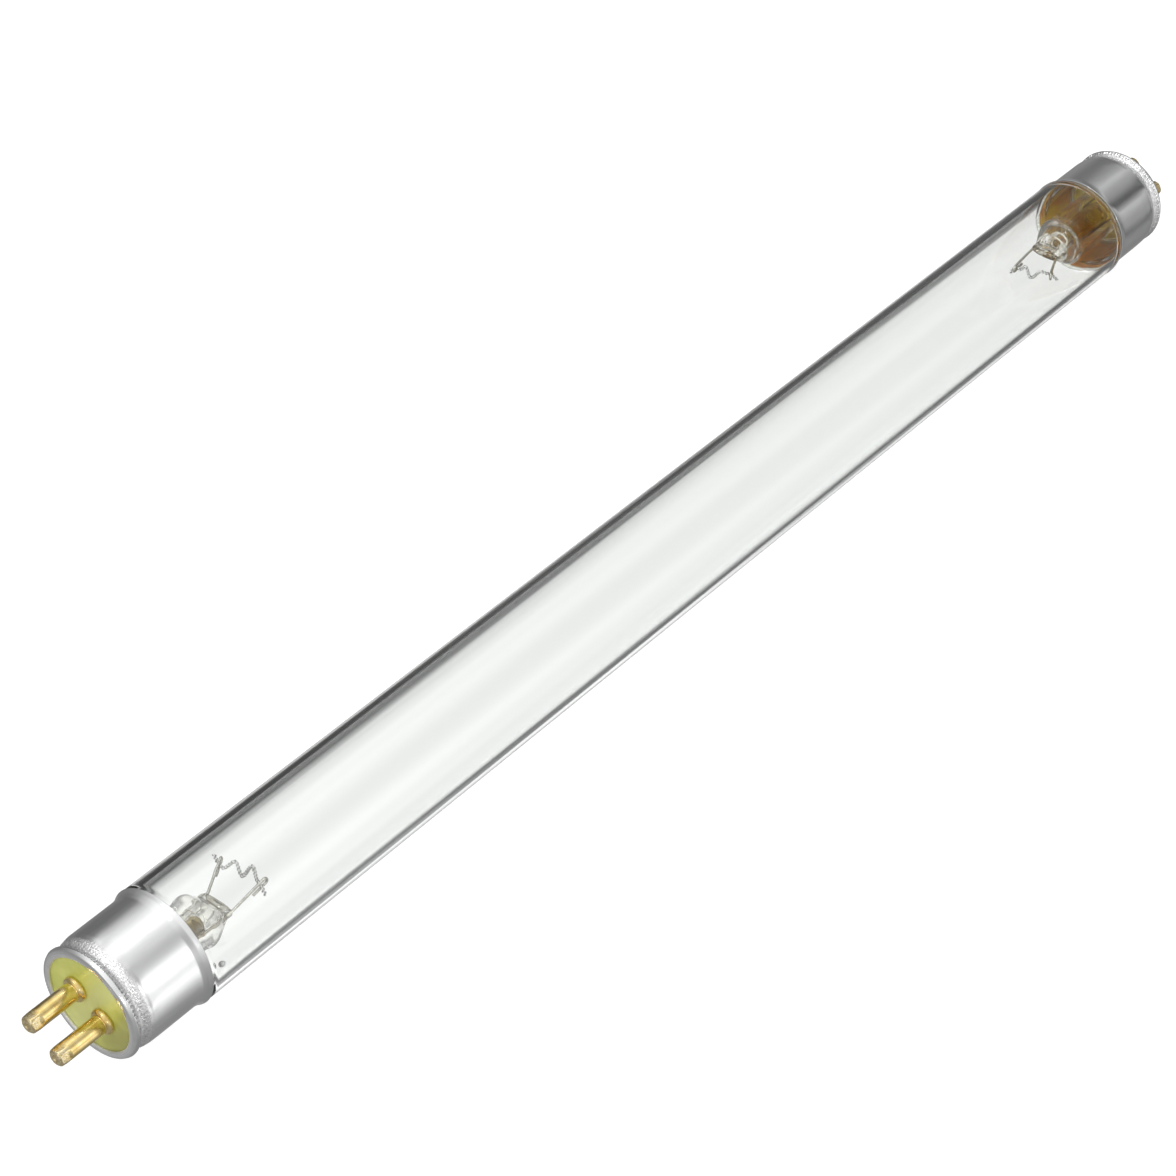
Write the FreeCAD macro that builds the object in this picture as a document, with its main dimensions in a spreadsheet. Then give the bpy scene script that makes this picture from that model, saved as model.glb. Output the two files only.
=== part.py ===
"""Clear germicidal lamp tube with a two-pin cap at each end.

Frame: X runs along the lamp, +X towards end b. The contact pins of both ends lie in the
XY plane and +Z is up. The origin is on the lamp's axis, midway between the two rims.
Everything at one end is drawn in that end's own frame, whose X points inwards from the
rim's front plane, and then placed. All lengths are in millimetres.
"""
import FreeCAD, Part
import math
import os
import sys

from FreeCAD import Placement, Rotation, Vector
import Sketcher

doc = FreeCAD.newDocument("lamp_tube")
sheet = doc.addObject("Spreadsheet::Sheet", "Dimensions")

# ---------------------------------------------------------------- dimensions
CELLS = [
    # whole lamp
    ("half_length", 106.0, "lamp centre to the rim's front plane"),
    ("stem_turn", -31.18, "degrees from the pins' plane to the press's plane"),
    # envelope
    ("tube_r", 7.83, "glass outer radius"),
    ("tube_wall", 0.9, "glass wall"),
    ("neck_r", 6.95, "glass outer radius inside the cap"),
    ("neck_from", 10.2, "where the neck ends and the shoulder starts"),
    ("neck_to", 12.6, "where the shoulder reaches full size"),
    ("shoulder_r", 1.85642, "radius of the two arcs of the shoulder"),
    ("turn_in", 5.4, "where the neck turns in to the seal"),
    ("seal_x", 3.8, "end of the glass, at the seal"),
    ("seal_r", 5.35, "radius of the seal between envelope and stem"),
    # stem
    ("stem_r", 3.5, "outer radius of the stem's round neck"),
    ("stem_bore", 2.75, "bore of the stem's round neck"),
    ("flare_x", 6.55, "where the flare becomes the round neck"),
    ("cavity_x", 16.4, "bottom of the bore"),
    ("cavity_arc", 1.0, "corner radius at the bottom of the bore"),
    ("pinch_x", 17.0, "where the round neck starts to be pinched"),
    ("press_x", 18.7, "where the flat press starts"),
    ("press_end", 20.4, "end face of the press"),
    ("press_half", 1.6, "centre of the press's rounded side"),
    ("press_t", 0.85, "half the press's thickness"),
    ("vent_half", 0.65, "centre of the vent slot's rounded side"),
    ("vent_t", 0.35, "half the vent slot's width"),
    ("vent_x", 18.0, "where the vent slot starts"),
    ("vent_cone_x", 18.4, "end of the tapered vent"),
    ("vent_cone_r", 0.5, "radius at the end of the tapered vent"),
    # exhaust tube
    ("pump_r", 1.75, "outer radius of the exhaust tube"),
    ("pump_bore", 1.05, "bore of the exhaust tube"),
    ("pump_taper", 7.6, "where the tip-off starts"),
    ("pump_tip", 4.4, "end of the tip-off"),
    ("pump_tip_r", 0.45, "radius of the tip-off's end"),
    ("pump_bore_end", 6.4, "end of the bore in the tip-off"),
    # wires
    ("wire_r", 0.18, "radius of the three wires of a lead"),
    ("wire_s", 2.05, "wire to the press's middle"),
    ("seal_wire_x", 15.8, "outer end of the seal wire"),
    ("weld_x", 19.4, "seal wire to support wire"),
    ("hook_gap", 0.40, "hook leg to the filament's middle"),
    ("hook_past", 0.62, "hook's turn past the filament"),
    ("hook_back", 2.1, "length of the hook's folded leg"),
    ("coil_r", 0.21, "outer radius of the filament's coil"),
    # cap shell
    ("sheet_t", 0.30, "sheet thickness of the cap"),
    ("cap_r", 7.47, "outer radius of the cap's body"),
    ("curl_in", 6.30, "inner radius of the rolled rim"),
    ("curl_nose", 6.85, "radius at the front of the rolled rim"),
    ("curl_back", 0.35, "rolled rim's back, where the disc sits"),
    ("bead_r", 7.45, "outer radius of the rolled rim"),
    ("bead_x", 0.60, "where the rolled rim is widest"),
    ("groove_r", 6.93, "outer radius at the bottom of the crimp groove"),
    ("groove_a", 1.38, "crimp groove, front of the bottom"),
    ("groove_b", 1.62, "crimp groove, back of the bottom"),
    ("body_from", 2.75, "where the cap's straight body starts"),
    ("lip_from", 10.30, "where the lip starts to flare"),
    ("lip_x", 11.75, "end of the lip"),
    ("lip_r", 7.95, "outer radius of the lip's edge"),
    # insulating disc
    ("disc_r", 7.08, "radius of the disc's flange"),
    ("disc_edge", 0.72, "back of the flange's straight edge"),
    ("hub_r", 6.52, "radius of the disc behind the flange"),
    ("hub_x", 1.32, "where the disc reaches that radius"),
    ("disc_back", 1.95, "back face of the disc"),
    # pins
    ("pin_y", 2.375, "pin to the lamp's axis, half of the standard 4.75"),
    ("pin_r", 1.18, "pin radius"),
    ("pin_tip", 7.10, "pin's tip past the rim"),
    ("pin_cone", 0.50, "length of the tip's chamfer"),
    ("pin_end_r", 0.80, "radius of the tip's face"),
    ("collar_r", 1.66, "radius of the collar on the disc"),
    ("collar_h", 0.50, "height of the collar"),
    ("rivet_r", 1.62, "radius of the riveted inner end"),
    ("rivet_h", 0.45, "height of the riveted inner end"),
    ("pin_bore", 0.62, "pin's bore"),
    ("pin_bore_end", 6.05, "end of the bore, before the tip"),
    ("solder_in", 6.40, "start of the soldered end"),
    ("solder_out", 6.86, "wire's end in the tip's dimple"),
    ("dimple_r", 0.48, "radius of the dimple in the tip"),
    # outer lead
    ("lead_bend_in", 8.6, "outer lead's first bend"),
    ("lead_bend_out", 3.5, "outer lead's second bend"),
    # cement
    ("cement_from", 4.2, "inner end of the cement ring"),
    ("cement_to", 11.1, "outer end of the cement ring, under the lip"),
    # mercury drop
    ("drop_x", 17.5, "drop, from the rim of end a"),
    ("drop_angle", -149.3, "degrees about X, from +Y"),
    ("drop_r", 0.45, "drop's radius"),
    ("drop_sink", 0.07, "how far the drop is flattened on the glass"),
]
for row, (alias, value, note) in enumerate(CELLS, start=1):
    sheet.set(f"A{row}", alias)
    sheet.set(f"B{row}", repr(value))
    sheet.set(f"C{row}", note)
    sheet.setAlias(f"B{row}", alias)
doc.recompute()


class Size:
    """A length with its value and the sheet formula that drives it."""

    def __init__(self, value, formula):
        self.value, self.formula = float(value), formula

    def __add__(self, other):
        other = size(other)
        return Size(self.value + other.value, f"({self.formula} + {other.formula})")

    def __sub__(self, other):
        other = size(other)
        return Size(self.value - other.value, f"({self.formula} - {other.formula})")

    def __rsub__(self, other):
        return size(other) - self

    def __mul__(self, other):
        other = size(other)
        return Size(self.value * other.value, f"({self.formula} * {other.formula})")

    __rmul__ = __mul__
    __radd__ = __add__

    def __neg__(self):
        return Size(-self.value, f"(0 - {self.formula})")


def size(x):
    return x if isinstance(x, Size) else Size(x, repr(float(x)))


def cell(alias):
    return Size(sheet.get(alias), f"Dimensions.{alias}")


S = {alias: cell(alias) for alias, _, _ in CELLS}
N = {alias: float(sheet.get(alias)) for alias, _, _ in CELLS}

PARTS = {}


def keep(obj, name):
    obj.Label = name
    PARTS[name] = obj
    return obj


# ------------------------------------------------------------------- frames
turn = math.radians(N["stem_turn"])
AX = Vector(1, 0, 0)
SIDE = Vector(0, math.cos(turn), math.sin(turn))  # across the press
RISE = Vector(0, -math.sin(turn), math.cos(turn))  # through the press


def place(obj, end, stem=False, y=None):
    """Put a piece drawn in an end's frame at that end of the lamp.

    The rim frame's Y and Z are the lamp's at end a. End b is end a turned half way
    about Z. The stem frame's Y runs across the press, the same way at both ends.
    """
    if not stem:
        rot = Rotation() if end == "a" else Rotation(Vector(0, 0, 1), 180)
    elif end == "a":
        rot = Rotation(AX, SIDE, RISE, "XYZ")
    else:
        rot = Rotation(AX * -1, SIDE, RISE * -1, "XYZ")
    sign = -1 if end == "a" else 1
    obj.Placement = Placement(Vector(sign * N["half_length"], 0, 0), rot)
    obj.setExpression(
        "Placement.Base.x", ("-" if sign < 0 else "") + "Dimensions.half_length"
    )
    if y is not None:
        obj.Placement.Base = Vector(sign * N["half_length"], y.value, 0)
        obj.setExpression("Placement.Base.y", y.formula)


def role_plane(body, role):
    return [f for f in body.Origin.OriginFeatures if f.Role == role][0]


def new_body(name):
    return doc.addObject("PartDesign::Body", name)


def new_sketch(body, name, role, offset=None):
    sketch = body.newObject("Sketcher::SketchObject", name)
    sketch.AttachmentSupport = [(role_plane(body, role), "")]
    sketch.MapMode = "FlatFace"
    if offset is not None:
        sketch.AttachmentOffset = Placement(Vector(0, 0, offset.value), Rotation())
        sketch.setExpression("AttachmentOffset.Base.z", offset.formula)
    return sketch


def hold(sketch, kind, *where, to):
    """A dimension of the sketch, driven by the sheet."""
    to = size(to)
    index = sketch.addConstraint(Sketcher.Constraint(kind, *where, to.value))
    sketch.setExpression(f"Constraints[{index}]", to.formula)


def arc_through(a, b, radius, left):
    """The arc from a to b with its centre to the left (or right) of that line."""
    chord = b.sub(a)
    half = chord.Length / 2
    if radius is None:
        radius = half
    if radius < half - 1e-6:
        raise ValueError(f"arc radius {radius} is under half its chord {half}")
    lift = math.sqrt(max(radius * radius - half * half, 0.0))
    normal = Vector(-chord.y, chord.x, 0).normalize() * (1 if left else -1)
    centre = a.add(b).multiply(0.5).add(normal * lift)
    middle = centre.add(normal * -radius)
    return Part.Arc(a, middle, b)


def outline(sketch, points, arcs=None):
    """A closed outline. points: (x, y) sizes. arcs: {index: (radius, centre on the left)},
    where a radius of None is a half circle, whose centre the caller places."""
    arcs = arcs or {}
    n = len(points)
    vec = [Vector(size(x).value, size(y).value, 0) for x, y in points]
    for i in range(n):
        a, b = vec[i], vec[(i + 1) % n]
        if i in arcs:
            radius, left = arcs[i]
            radius = None if radius is None else size(radius).value
            sketch.addGeometry(arc_through(a, b, radius, left), False)
        else:
            sketch.addGeometry(Part.LineSegment(a, b), False)
    starts, ends = [], []
    for i in range(n):
        # an arc is kept counter-clockwise, so its first point may be the path's last
        a = vec[i]
        first = sketch.getPoint(i, 1)
        flip = first.sub(a).Length > 1e-6
        starts.append(2 if flip else 1)
        ends.append(1 if flip else 2)
    for i in range(n):
        j = (i + 1) % n
        sketch.addConstraint(
            Sketcher.Constraint("Coincident", i, ends[i], j, starts[j])
        )
    for i, (x, y) in enumerate(points):
        hold(sketch, "DistanceX", i, starts[i], to=x)
        if abs(size(y).value) < 1e-9:
            sketch.addConstraint(
                Sketcher.Constraint("PointOnObject", i, starts[i], -1)
            )
        else:
            hold(sketch, "DistanceY", i, starts[i], to=y)
    for i, (radius, _) in arcs.items():
        if radius is not None:
            hold(sketch, "Radius", i, to=radius)


def revolve(body, name, points, arcs=None, kind="PartDesign::Revolution"):
    sketch = new_sketch(body, name + "_outline", "XY_Plane")
    outline(sketch, points, arcs)
    feature = body.newObject(kind, name)
    feature.Profile = sketch
    feature.ReferenceAxis = (sketch, ["H_Axis"])
    feature.Angle = 360
    doc.recompute()
    return feature


def round_hole(body, name, y, radius, start, depth):
    """A round hole along X at (y, 0), cut from the plane at start towards -X."""
    sketch = new_sketch(body, name + "_outline", "YZ_Plane", offset=start)
    sketch.addGeometry(
        Part.Circle(Vector(y.value, 0, 0), Vector(0, 0, 1), radius.value), False
    )
    hold(sketch, "DistanceX", 0, 3, to=y)
    sketch.addConstraint(Sketcher.Constraint("PointOnObject", 0, 3, -1))
    hold(sketch, "Radius", 0, to=radius)
    pocket = body.newObject("PartDesign::Pocket", name)
    pocket.Profile = sketch
    pocket.Type = 0
    pocket.Length = depth.value
    pocket.setExpression("Length", depth.formula)
    pocket.Reversed = False
    doc.recompute()
    return pocket


def slot_sketch(body, name, half, t, offset):
    """A slot along Y with round ends: centres at +-half, half width t."""
    sketch = new_sketch(body, name, "YZ_Plane", offset=offset)
    outline(
        sketch,
        [(half, -t), (half, t), (-half, t), (-half, -t)],
        {0: (None, True), 2: (None, True)},
    )
    hold(sketch, "DistanceX", 0, 3, to=half)
    hold(sketch, "DistanceX", 2, 3, to=-half)
    return sketch


def cut_volume(body, before, least, what):
    now = body.Shape.Volume
    if before - now < least:
        raise RuntimeError(f"{what} cut only {before - now:.3f} mm3")
    return now


# ----------------------------------------------------------------- envelope
def build_envelope():
    """The blown tube: full size between the caps, necked inside them, turned in at
    both ends to meet the stems."""
    name = "envelope_tube"
    body = new_body(name)
    w = S["tube_wall"]
    mid = (S["neck_from"] + S["neck_to"]) * 0.5
    mid_r = (S["neck_r"] + S["tube_r"]) * 0.5

    def half(sign):
        """One end's outer points from full size to the seal, then the inner ones back."""

        def x(v):
            return (v - S["half_length"]) if sign < 0 else (S["half_length"] - v)

        turned = S["turn_in"]
        outer = [
            (x(S["neck_to"]), S["tube_r"]),
            (x(mid), mid_r),
            (x(S["neck_from"]), S["neck_r"]),
            (x(turned), S["neck_r"]),
            (x(S["seal_x"]), S["seal_r"]),
        ]
        inner = [
            (x(S["seal_x"] + w), S["seal_r"]),
            (x(turned), S["neck_r"] - w),
            (x(S["neck_from"]), S["neck_r"] - w),
            (x(mid), mid_r - w),
            (x(S["neck_to"]), S["tube_r"] - w),
        ]
        return outer, inner

    oa, ia = half(-1)
    ob, ib = half(1)
    turn_r = S["turn_in"] - S["seal_x"]
    turn_in_r = S["turn_in"] - S["seal_x"] - w
    # clockwise seen with X right and r up: end a outer (out to the seal), inner back,
    # along the bore to end b, out to its seal, and back along the outside
    points = oa + ia + ib[::-1] + ob[::-1]
    arcs = {
        0: (S["shoulder_r"], True),
        1: (S["shoulder_r"], False),
        3: (turn_r, True),
        5: (turn_in_r, False),
        7: (S["shoulder_r"], True),
        8: (S["shoulder_r"], False),
        10: (S["shoulder_r"], False),
        11: (S["shoulder_r"], True),
        13: (turn_in_r, False),
        15: (turn_r, True),
        17: (S["shoulder_r"], False),
        18: (S["shoulder_r"], True),
    }
    revolve(body, "envelope_wall", points, arcs)
    return keep(body, name)


# --------------------------------------------------------------------- stem
def build_stem(end):
    """Flare, round neck and flat press, pinched from one piece of glass tube."""
    name = f"stem_{end}"
    body = new_body(name)
    wall = S["tube_wall"]
    cap_arc = (S["flare_x"] - 0.15) - S["seal_x"]
    points = [
        (S["seal_x"], S["seal_r"]),
        (S["seal_x"] + wall, S["seal_r"]),
        (S["flare_x"], S["stem_r"]),
        (S["pinch_x"], S["stem_r"]),
        (S["pinch_x"], 0),
        (S["cavity_x"], 0),
        (S["cavity_x"], S["stem_bore"] - S["cavity_arc"]),
        (S["cavity_x"] - S["cavity_arc"], S["stem_bore"]),
        (S["flare_x"] - 0.15, S["stem_bore"]),
    ]
    arcs = {
        1: (S["flare_x"] - S["seal_x"] - wall, True),
        6: (S["cavity_arc"], True),
        8: (cap_arc, False),
    }
    revolve(body, f"flare_{end}", points, arcs)
    round_volume = body.Shape.Volume

    # the pinched shoulder runs from the round neck to the flat press
    ring = new_sketch(body, f"shoulder_round_{end}", "YZ_Plane", offset=S["pinch_x"])
    q = S["stem_r"] * 0.8660254
    h = S["stem_r"] * 0.5
    outline(
        ring,
        [(q, -h), (q, h), (-q, h), (-q, -h)],
        {
            0: (S["stem_r"], True),
            1: (S["stem_r"], True),
            2: (S["stem_r"], True),
            3: (S["stem_r"], True),
        },
    )
    flat = slot_sketch(
        body, f"shoulder_flat_{end}", S["press_half"], S["press_t"], S["press_x"]
    )
    loft = body.newObject("PartDesign::AdditiveLoft", f"shoulder_{end}")
    loft.Profile = ring
    loft.Sections = [flat]
    loft.Ruled = False
    doc.recompute()
    if body.Shape.Volume < round_volume + 5:
        raise RuntimeError("the shoulder added nothing")

    face = slot_sketch(
        body, f"press_outline_{end}", S["press_half"], S["press_t"], S["press_x"]
    )
    press = body.newObject("PartDesign::Pad", f"press_{end}")
    press.Profile = face
    length = S["press_end"] - S["press_x"]
    press.Length = length.value
    press.setExpression("Length", length.formula)
    doc.recompute()
    before = body.Shape.Volume

    # the vent that joins the exhaust tube to the inside of the lamp
    revolve(
        body,
        f"vent_taper_{end}",
        [
            (S["cavity_x"] - 0.2, 0),
            (S["cavity_x"] - 0.2, S["pump_bore"]),
            (S["cavity_x"], S["pump_bore"]),
            (S["vent_cone_x"], S["vent_cone_r"]),
            (S["vent_cone_x"], 0),
        ],
        kind="PartDesign::Groove",
    )
    before = cut_volume(body, before, 1.0, "the tapered vent")
    vent_sketch = slot_sketch(
        body, f"vent_outline_{end}", S["vent_half"], S["vent_t"], S["press_end"]
    )
    vent = body.newObject("PartDesign::Pocket", f"vent_{end}")
    vent.Profile = vent_sketch
    vent.Type = 0
    depth = S["press_end"] - S["vent_x"]
    vent.Length = depth.value
    vent.setExpression("Length", depth.formula)
    doc.recompute()
    before = cut_volume(body, before, 1.5, "the vent slot")

    # one hole for each wire, from the press's end into the bore
    through = S["press_end"] - S["seal_wire_x"]
    for k, y in (("one", S["wire_s"]), ("two", -S["wire_s"])):
        round_hole(
            body, f"wire_hole_{k}_{end}", y, S["wire_r"], S["press_end"], through
        )
        before = cut_volume(body, before, 0.35, "a wire hole")
    place(body, end, stem=True)
    return keep(body, name)


def build_exhaust(end):
    """Exhaust tube, fused to the stem's bottom and tipped off inside the cap."""
    name = f"exhaust_tube_{end}"
    body = new_body(name)
    points = [
        (S["cavity_x"], S["pump_bore"]),
        (S["cavity_x"], S["pump_r"]),
        (S["pump_taper"], S["pump_r"]),
        (S["pump_tip"], S["pump_tip_r"]),
        (S["pump_tip"], 0),
        (S["pump_bore_end"], 0),
        (S["pump_taper"] + 0.4, S["pump_bore"]),
    ]
    arcs = {2: (4.7, True)}
    revolve(body, f"exhaust_wall_{end}", points, arcs)
    place(body, end)
    return keep(body, name)


# -------------------------------------------------------------------- wires
def path_wire(points, cap=None):
    """Straight runs joined by tangent arcs. Each arc takes up to 0.42 of the shorter run."""
    edges, here = [], points[0]
    for i in range(1, len(points) - 1):
        a, b, c = points[i - 1], points[i], points[i + 1]
        u, v = b.sub(a), c.sub(b)
        lu, lv = u.Length, v.Length
        u.normalize()
        v.normalize()
        bend = u.getAngle(v)
        if bend < math.radians(0.5):
            continue
        t = 0.42 * min(lu, lv)
        if cap:
            t = min(t, cap)
        r = t / math.tan(bend / 2)
        start, stop = b.sub(u * t), b.add(v * t)
        inward = v.sub(u)
        inward.normalize()
        middle = b.add(inward * (r / math.cos(bend / 2) - r))
        edges.append(Part.LineSegment(here, start).toShape())
        edges.append(Part.Arc(start, middle, stop).toShape())
        here = stop
    edges.append(Part.LineSegment(here, points[-1]).toShape())
    return Part.Wire(edges)


def sweep(name, path, radius, end, stem):
    """A round wire along a path drawn in an end's frame."""
    line = doc.addObject("Part::Feature", name + "_path")
    line.Shape = path
    first = path.Edges[0]
    start = first.valueAt(first.FirstParameter)
    tangent = first.tangentAt(first.FirstParameter)
    ring = doc.addObject("Part::Circle", name + "_section")
    ring.Radius = radius.value
    ring.setExpression("Radius", radius.formula)
    ring.Placement = Placement(start, Rotation(Vector(0, 0, 1), tangent))
    tube = doc.addObject("Part::Sweep", name)
    tube.Sections = [ring]
    tube.Spine = (line, [])
    tube.Solid = True
    tube.Frenet = False
    place(tube, end, stem=stem)
    doc.recompute()
    want = path.Length * math.pi * radius.value**2
    if abs(tube.Shape.Volume - want) > 0.02 * want:
        raise RuntimeError(f"{name}: volume {tube.Shape.Volume:.4f}, expected {want:.4f}")
    return keep(tube, name)


def in_stem(end, x, s, u):
    """A point given as inwards, across the press and up through it."""
    return Vector(x, s, u if end == "a" else -u)


# filament points: inwards from the rim, across the press, up through it.
# The first and last are the coil's free ends, the second and second last are in the hooks.
FILAMENT = {
    "a": [
        (25.40, 5.70, 0.85),
        (25.10, 4.53, 0.00),
        (25.08, 3.70, -0.10),
        (25.96, 2.60, 0.90),
        (25.50, 1.20, -0.15),
        (26.10, -0.10, 1.70),
        (25.44, -1.35, 0.90),
        (25.10, -2.27, 0.80),
        (24.90, -3.17, -0.10),
    ],
    "b": [
        (25.35, 2.55, -1.75),
        (25.00, 1.74, -0.63),
        (25.30, 1.00, -0.67),
        (25.60, -0.04, 0.46),
        (25.60, -1.03, -1.00),
        (25.60, -2.60, 0.77),
        (25.30, -3.30, 0.60),
        (25.00, -3.92, 0.53),
        (24.95, -4.95, 0.10),
    ],
}


def build_wires(end):
    pts = FILAMENT[end]
    hooks = {1: pts[1], 2: pts[-2]}
    for k, side in ((1, 1), (2, -1)):
        s0 = side * N["wire_s"]
        # seal wire, straight, in the press and a little into the bore
        seal = doc.addObject("Part::Cylinder", f"seal_wire_{end}{k}_rod")
        seal.Radius = N["wire_r"]
        seal.setExpression("Radius", "Dimensions.wire_r")
        seal.Height = N["weld_x"] - N["seal_wire_x"]
        seal.setExpression("Height", "Dimensions.weld_x - Dimensions.seal_wire_x")
        rot = Rotation(AX, SIDE, RISE, "XYZ") if end == "a" else Rotation(
            AX * -1, SIDE, RISE * -1, "XYZ"
        )
        sign = -1 if end == "a" else 1
        inward = AX * -sign
        base = (
            AX * (sign * N["half_length"])
            + inward * N["seal_wire_x"]
            + SIDE * s0
        )
        seal.Placement = Placement(base, Rotation(Vector(0, 0, 1), inward))
        offset = "Dimensions.half_length - Dimensions.seal_wire_x"
        seal.setExpression(
            "Placement.Base.x", offset if sign > 0 else f"-({offset})"
        )
        keep(seal, f"seal_wire_{end}{k}")

        # support wire: out of the press, across to the filament, and folded over it
        centre = in_stem(end, *hooks[k])
        elbow = in_stem(end, N["press_end"] + 0.45, s0, 0.0)
        up = Vector(0, 0, 1 if end == "a" else -1)
        d = centre.sub(elbow)
        d.normalize()
        for _ in range(6):
            n = up.sub(d * up.dot(d))
            n.normalize()
            d = centre.add(n * N["hook_gap"]).sub(elbow)
            d.normalize()
        n = up.sub(d * up.dot(d))
        n.normalize()
        g = N["hook_gap"]
        a1 = centre + n * g + d * N["hook_past"]
        top = centre + d * (N["hook_past"] + g)
        a2 = centre - n * g + d * N["hook_past"]
        back = a2 - d * N["hook_back"]
        start = in_stem(end, N["weld_x"], s0, 0.0)
        lower = path_wire([start, elbow, a1], cap=0.35)
        edges = list(lower.Edges)
        edges.append(Part.Arc(a1, top, a2).toShape())
        edges.append(Part.LineSegment(a2, back).toShape())
        sweep(f"support_wire_{end}{k}", Part.Wire(edges), S["wire_r"], end, True)

        # outer lead: from the seal wire through the bore and into the pin
        y0, z0 = s0 * math.cos(turn), s0 * math.sin(turn)
        flip = 1 if end == "a" else -1
        yp = side * N["pin_y"]
        route = [
            Vector(N["seal_wire_x"], flip * y0, z0),
            Vector(N["lead_bend_in"], flip * y0, z0),
            Vector(N["lead_bend_out"], flip * yp, 0),
            Vector(-N["solder_out"], flip * yp, 0),
        ]
        sweep(f"outer_lead_{end}{k}", path_wire(route, cap=0.9), S["wire_r"], end, False)

    route = [in_stem(end, *p) for p in pts]
    path = path_wire(route)
    for e in path.Edges:
        if e.Curve.TypeId == "Part::GeomCircle" and e.Curve.Radius < 1.15 * N["coil_r"]:
            raise RuntimeError(f"filament {end}: bend radius {e.Curve.Radius:.2f}")
    coil = sweep(f"coil_{end}", path, S["coil_r"], end, True)
    PARTS.pop(f"coil_{end}")
    coil.Label = f"coil_{end}_before_pinching"
    # the hooks are folded tight on the coil and press into it a little
    for k in (1, 2):
        pinched = doc.addObject("Part::Cut", f"coil_pinch_{end}{k}")
        pinched.Base, pinched.Tool = coil, PARTS[f"support_wire_{end}{k}"]
        doc.recompute()
        coil = pinched
    keep(coil, f"filament_{end}")


# ---------------------------------------------------------------- cap shell
def lip_inner():
    """Inner radius of the lip's end, square to the flared sheet."""
    return S["lip_r"] - S["sheet_t"]


def build_shell(end):
    """Aluminium cap: rolled rim, crimp groove, straight body and flared lip."""
    name = f"cap_shell_{end}"
    body = new_body(name)
    t = S["sheet_t"]
    points = [
        (S["curl_back"], S["curl_in"]),
        (0.12, S["curl_in"] + 0.02),
        (0.0, S["curl_in"] + 0.18),
        (0.0, S["curl_nose"]),
        (S["bead_x"], S["bead_r"]),
        (S["bead_x"] + 0.18, S["bead_r"] - 0.04),
        (S["groove_a"], S["groove_r"]),
        (S["groove_b"], S["groove_r"]),
        (S["body_from"] - 0.25, S["cap_r"] - 0.04),
        (S["body_from"], S["cap_r"]),
        (S["lip_from"], S["cap_r"]),
        (S["lip_from"] + 0.75, S["cap_r"] + 0.22),
        (S["lip_x"], S["lip_r"]),
        (S["lip_x"] + 0.04, lip_inner() + 0.03),
        (S["lip_from"] + 0.85, S["cap_r"] - 0.07),
        (S["lip_from"] + 0.06, S["cap_r"] - t),
        (S["body_from"] + 0.05, S["cap_r"] - t),
        (S["groove_b"] + 0.04, S["groove_r"] - t),
        (S["groove_a"] - 0.04, S["groove_r"] - t),
        (S["bead_x"] + 0.16, S["bead_r"] - t - 0.04),
        (S["curl_back"], S["bead_r"] - t - 0.02),
    ]
    arcs = {3: (0.62, False)}
    revolve(body, f"shell_wall_{end}", points, arcs)
    place(body, end)
    return keep(body, name)


# ------------------------------------------------------------------- disc
def build_disc(end):
    """Insulating disc: a flange held between rim and groove, and a thicker middle."""
    name = f"insulator_disc_{end}"
    body = new_body(name)
    points = [
        (S["curl_back"], 0),
        (S["curl_back"], S["disc_r"]),
        (S["disc_edge"], S["disc_r"]),
        (S["hub_x"], S["hub_r"]),
        (S["disc_back"], S["hub_r"]),
        (S["disc_back"], 0),
    ]
    revolve(body, f"disc_round_{end}", points)
    before = body.Shape.Volume
    for k, y in (("one", S["pin_y"]), ("two", -S["pin_y"])):
        round_hole(
            body,
            f"pin_hole_{k}_{end}",
            y,
            S["pin_r"],
            S["disc_back"],
            S["disc_back"] - S["curl_back"],
        )
        before = cut_volume(body, before, 6.0, "a pin hole")
    place(body, end)
    return keep(body, name)


# -------------------------------------------------------------------- pins
def build_pin(end, k, side):
    """Hollow pin: chamfered tip with a dimple, collar on the disc, riveted inner end."""
    name = f"contact_pin_{end}{k}"
    body = new_body(name)
    front = S["curl_back"]
    points = [
        (-S["solder_out"], S["wire_r"]),
        (-S["pin_tip"], S["dimple_r"]),
        (-S["pin_tip"], S["pin_end_r"]),
        (S["pin_cone"] - S["pin_tip"], S["pin_r"]),
        (front - S["collar_h"] - 0.12, S["pin_r"]),
        (front - S["collar_h"], S["pin_r"] + 0.12),
        (front - S["collar_h"], S["collar_r"] - 0.22),
        (front - S["collar_h"] + 0.22, S["collar_r"]),
        (front, S["collar_r"]),
        (front, S["pin_r"]),
        (S["disc_back"], S["pin_r"]),
        (S["disc_back"], S["rivet_r"]),
        (S["disc_back"] + S["rivet_h"] - 0.15, S["rivet_r"]),
        (S["disc_back"] + S["rivet_h"], S["pin_r"] - 0.1),
        (S["disc_back"] + S["rivet_h"], S["pin_bore"]),
        (-S["pin_bore_end"], S["pin_bore"]),
        (-S["solder_in"], S["wire_r"]),
    ]
    arcs = {6: (0.22, False)}
    revolve(body, f"pin_turned_{end}{k}", points, arcs)
    y = S["pin_y"] if side > 0 else -S["pin_y"]
    place(body, end, y=y)
    return keep(body, name)


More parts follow.
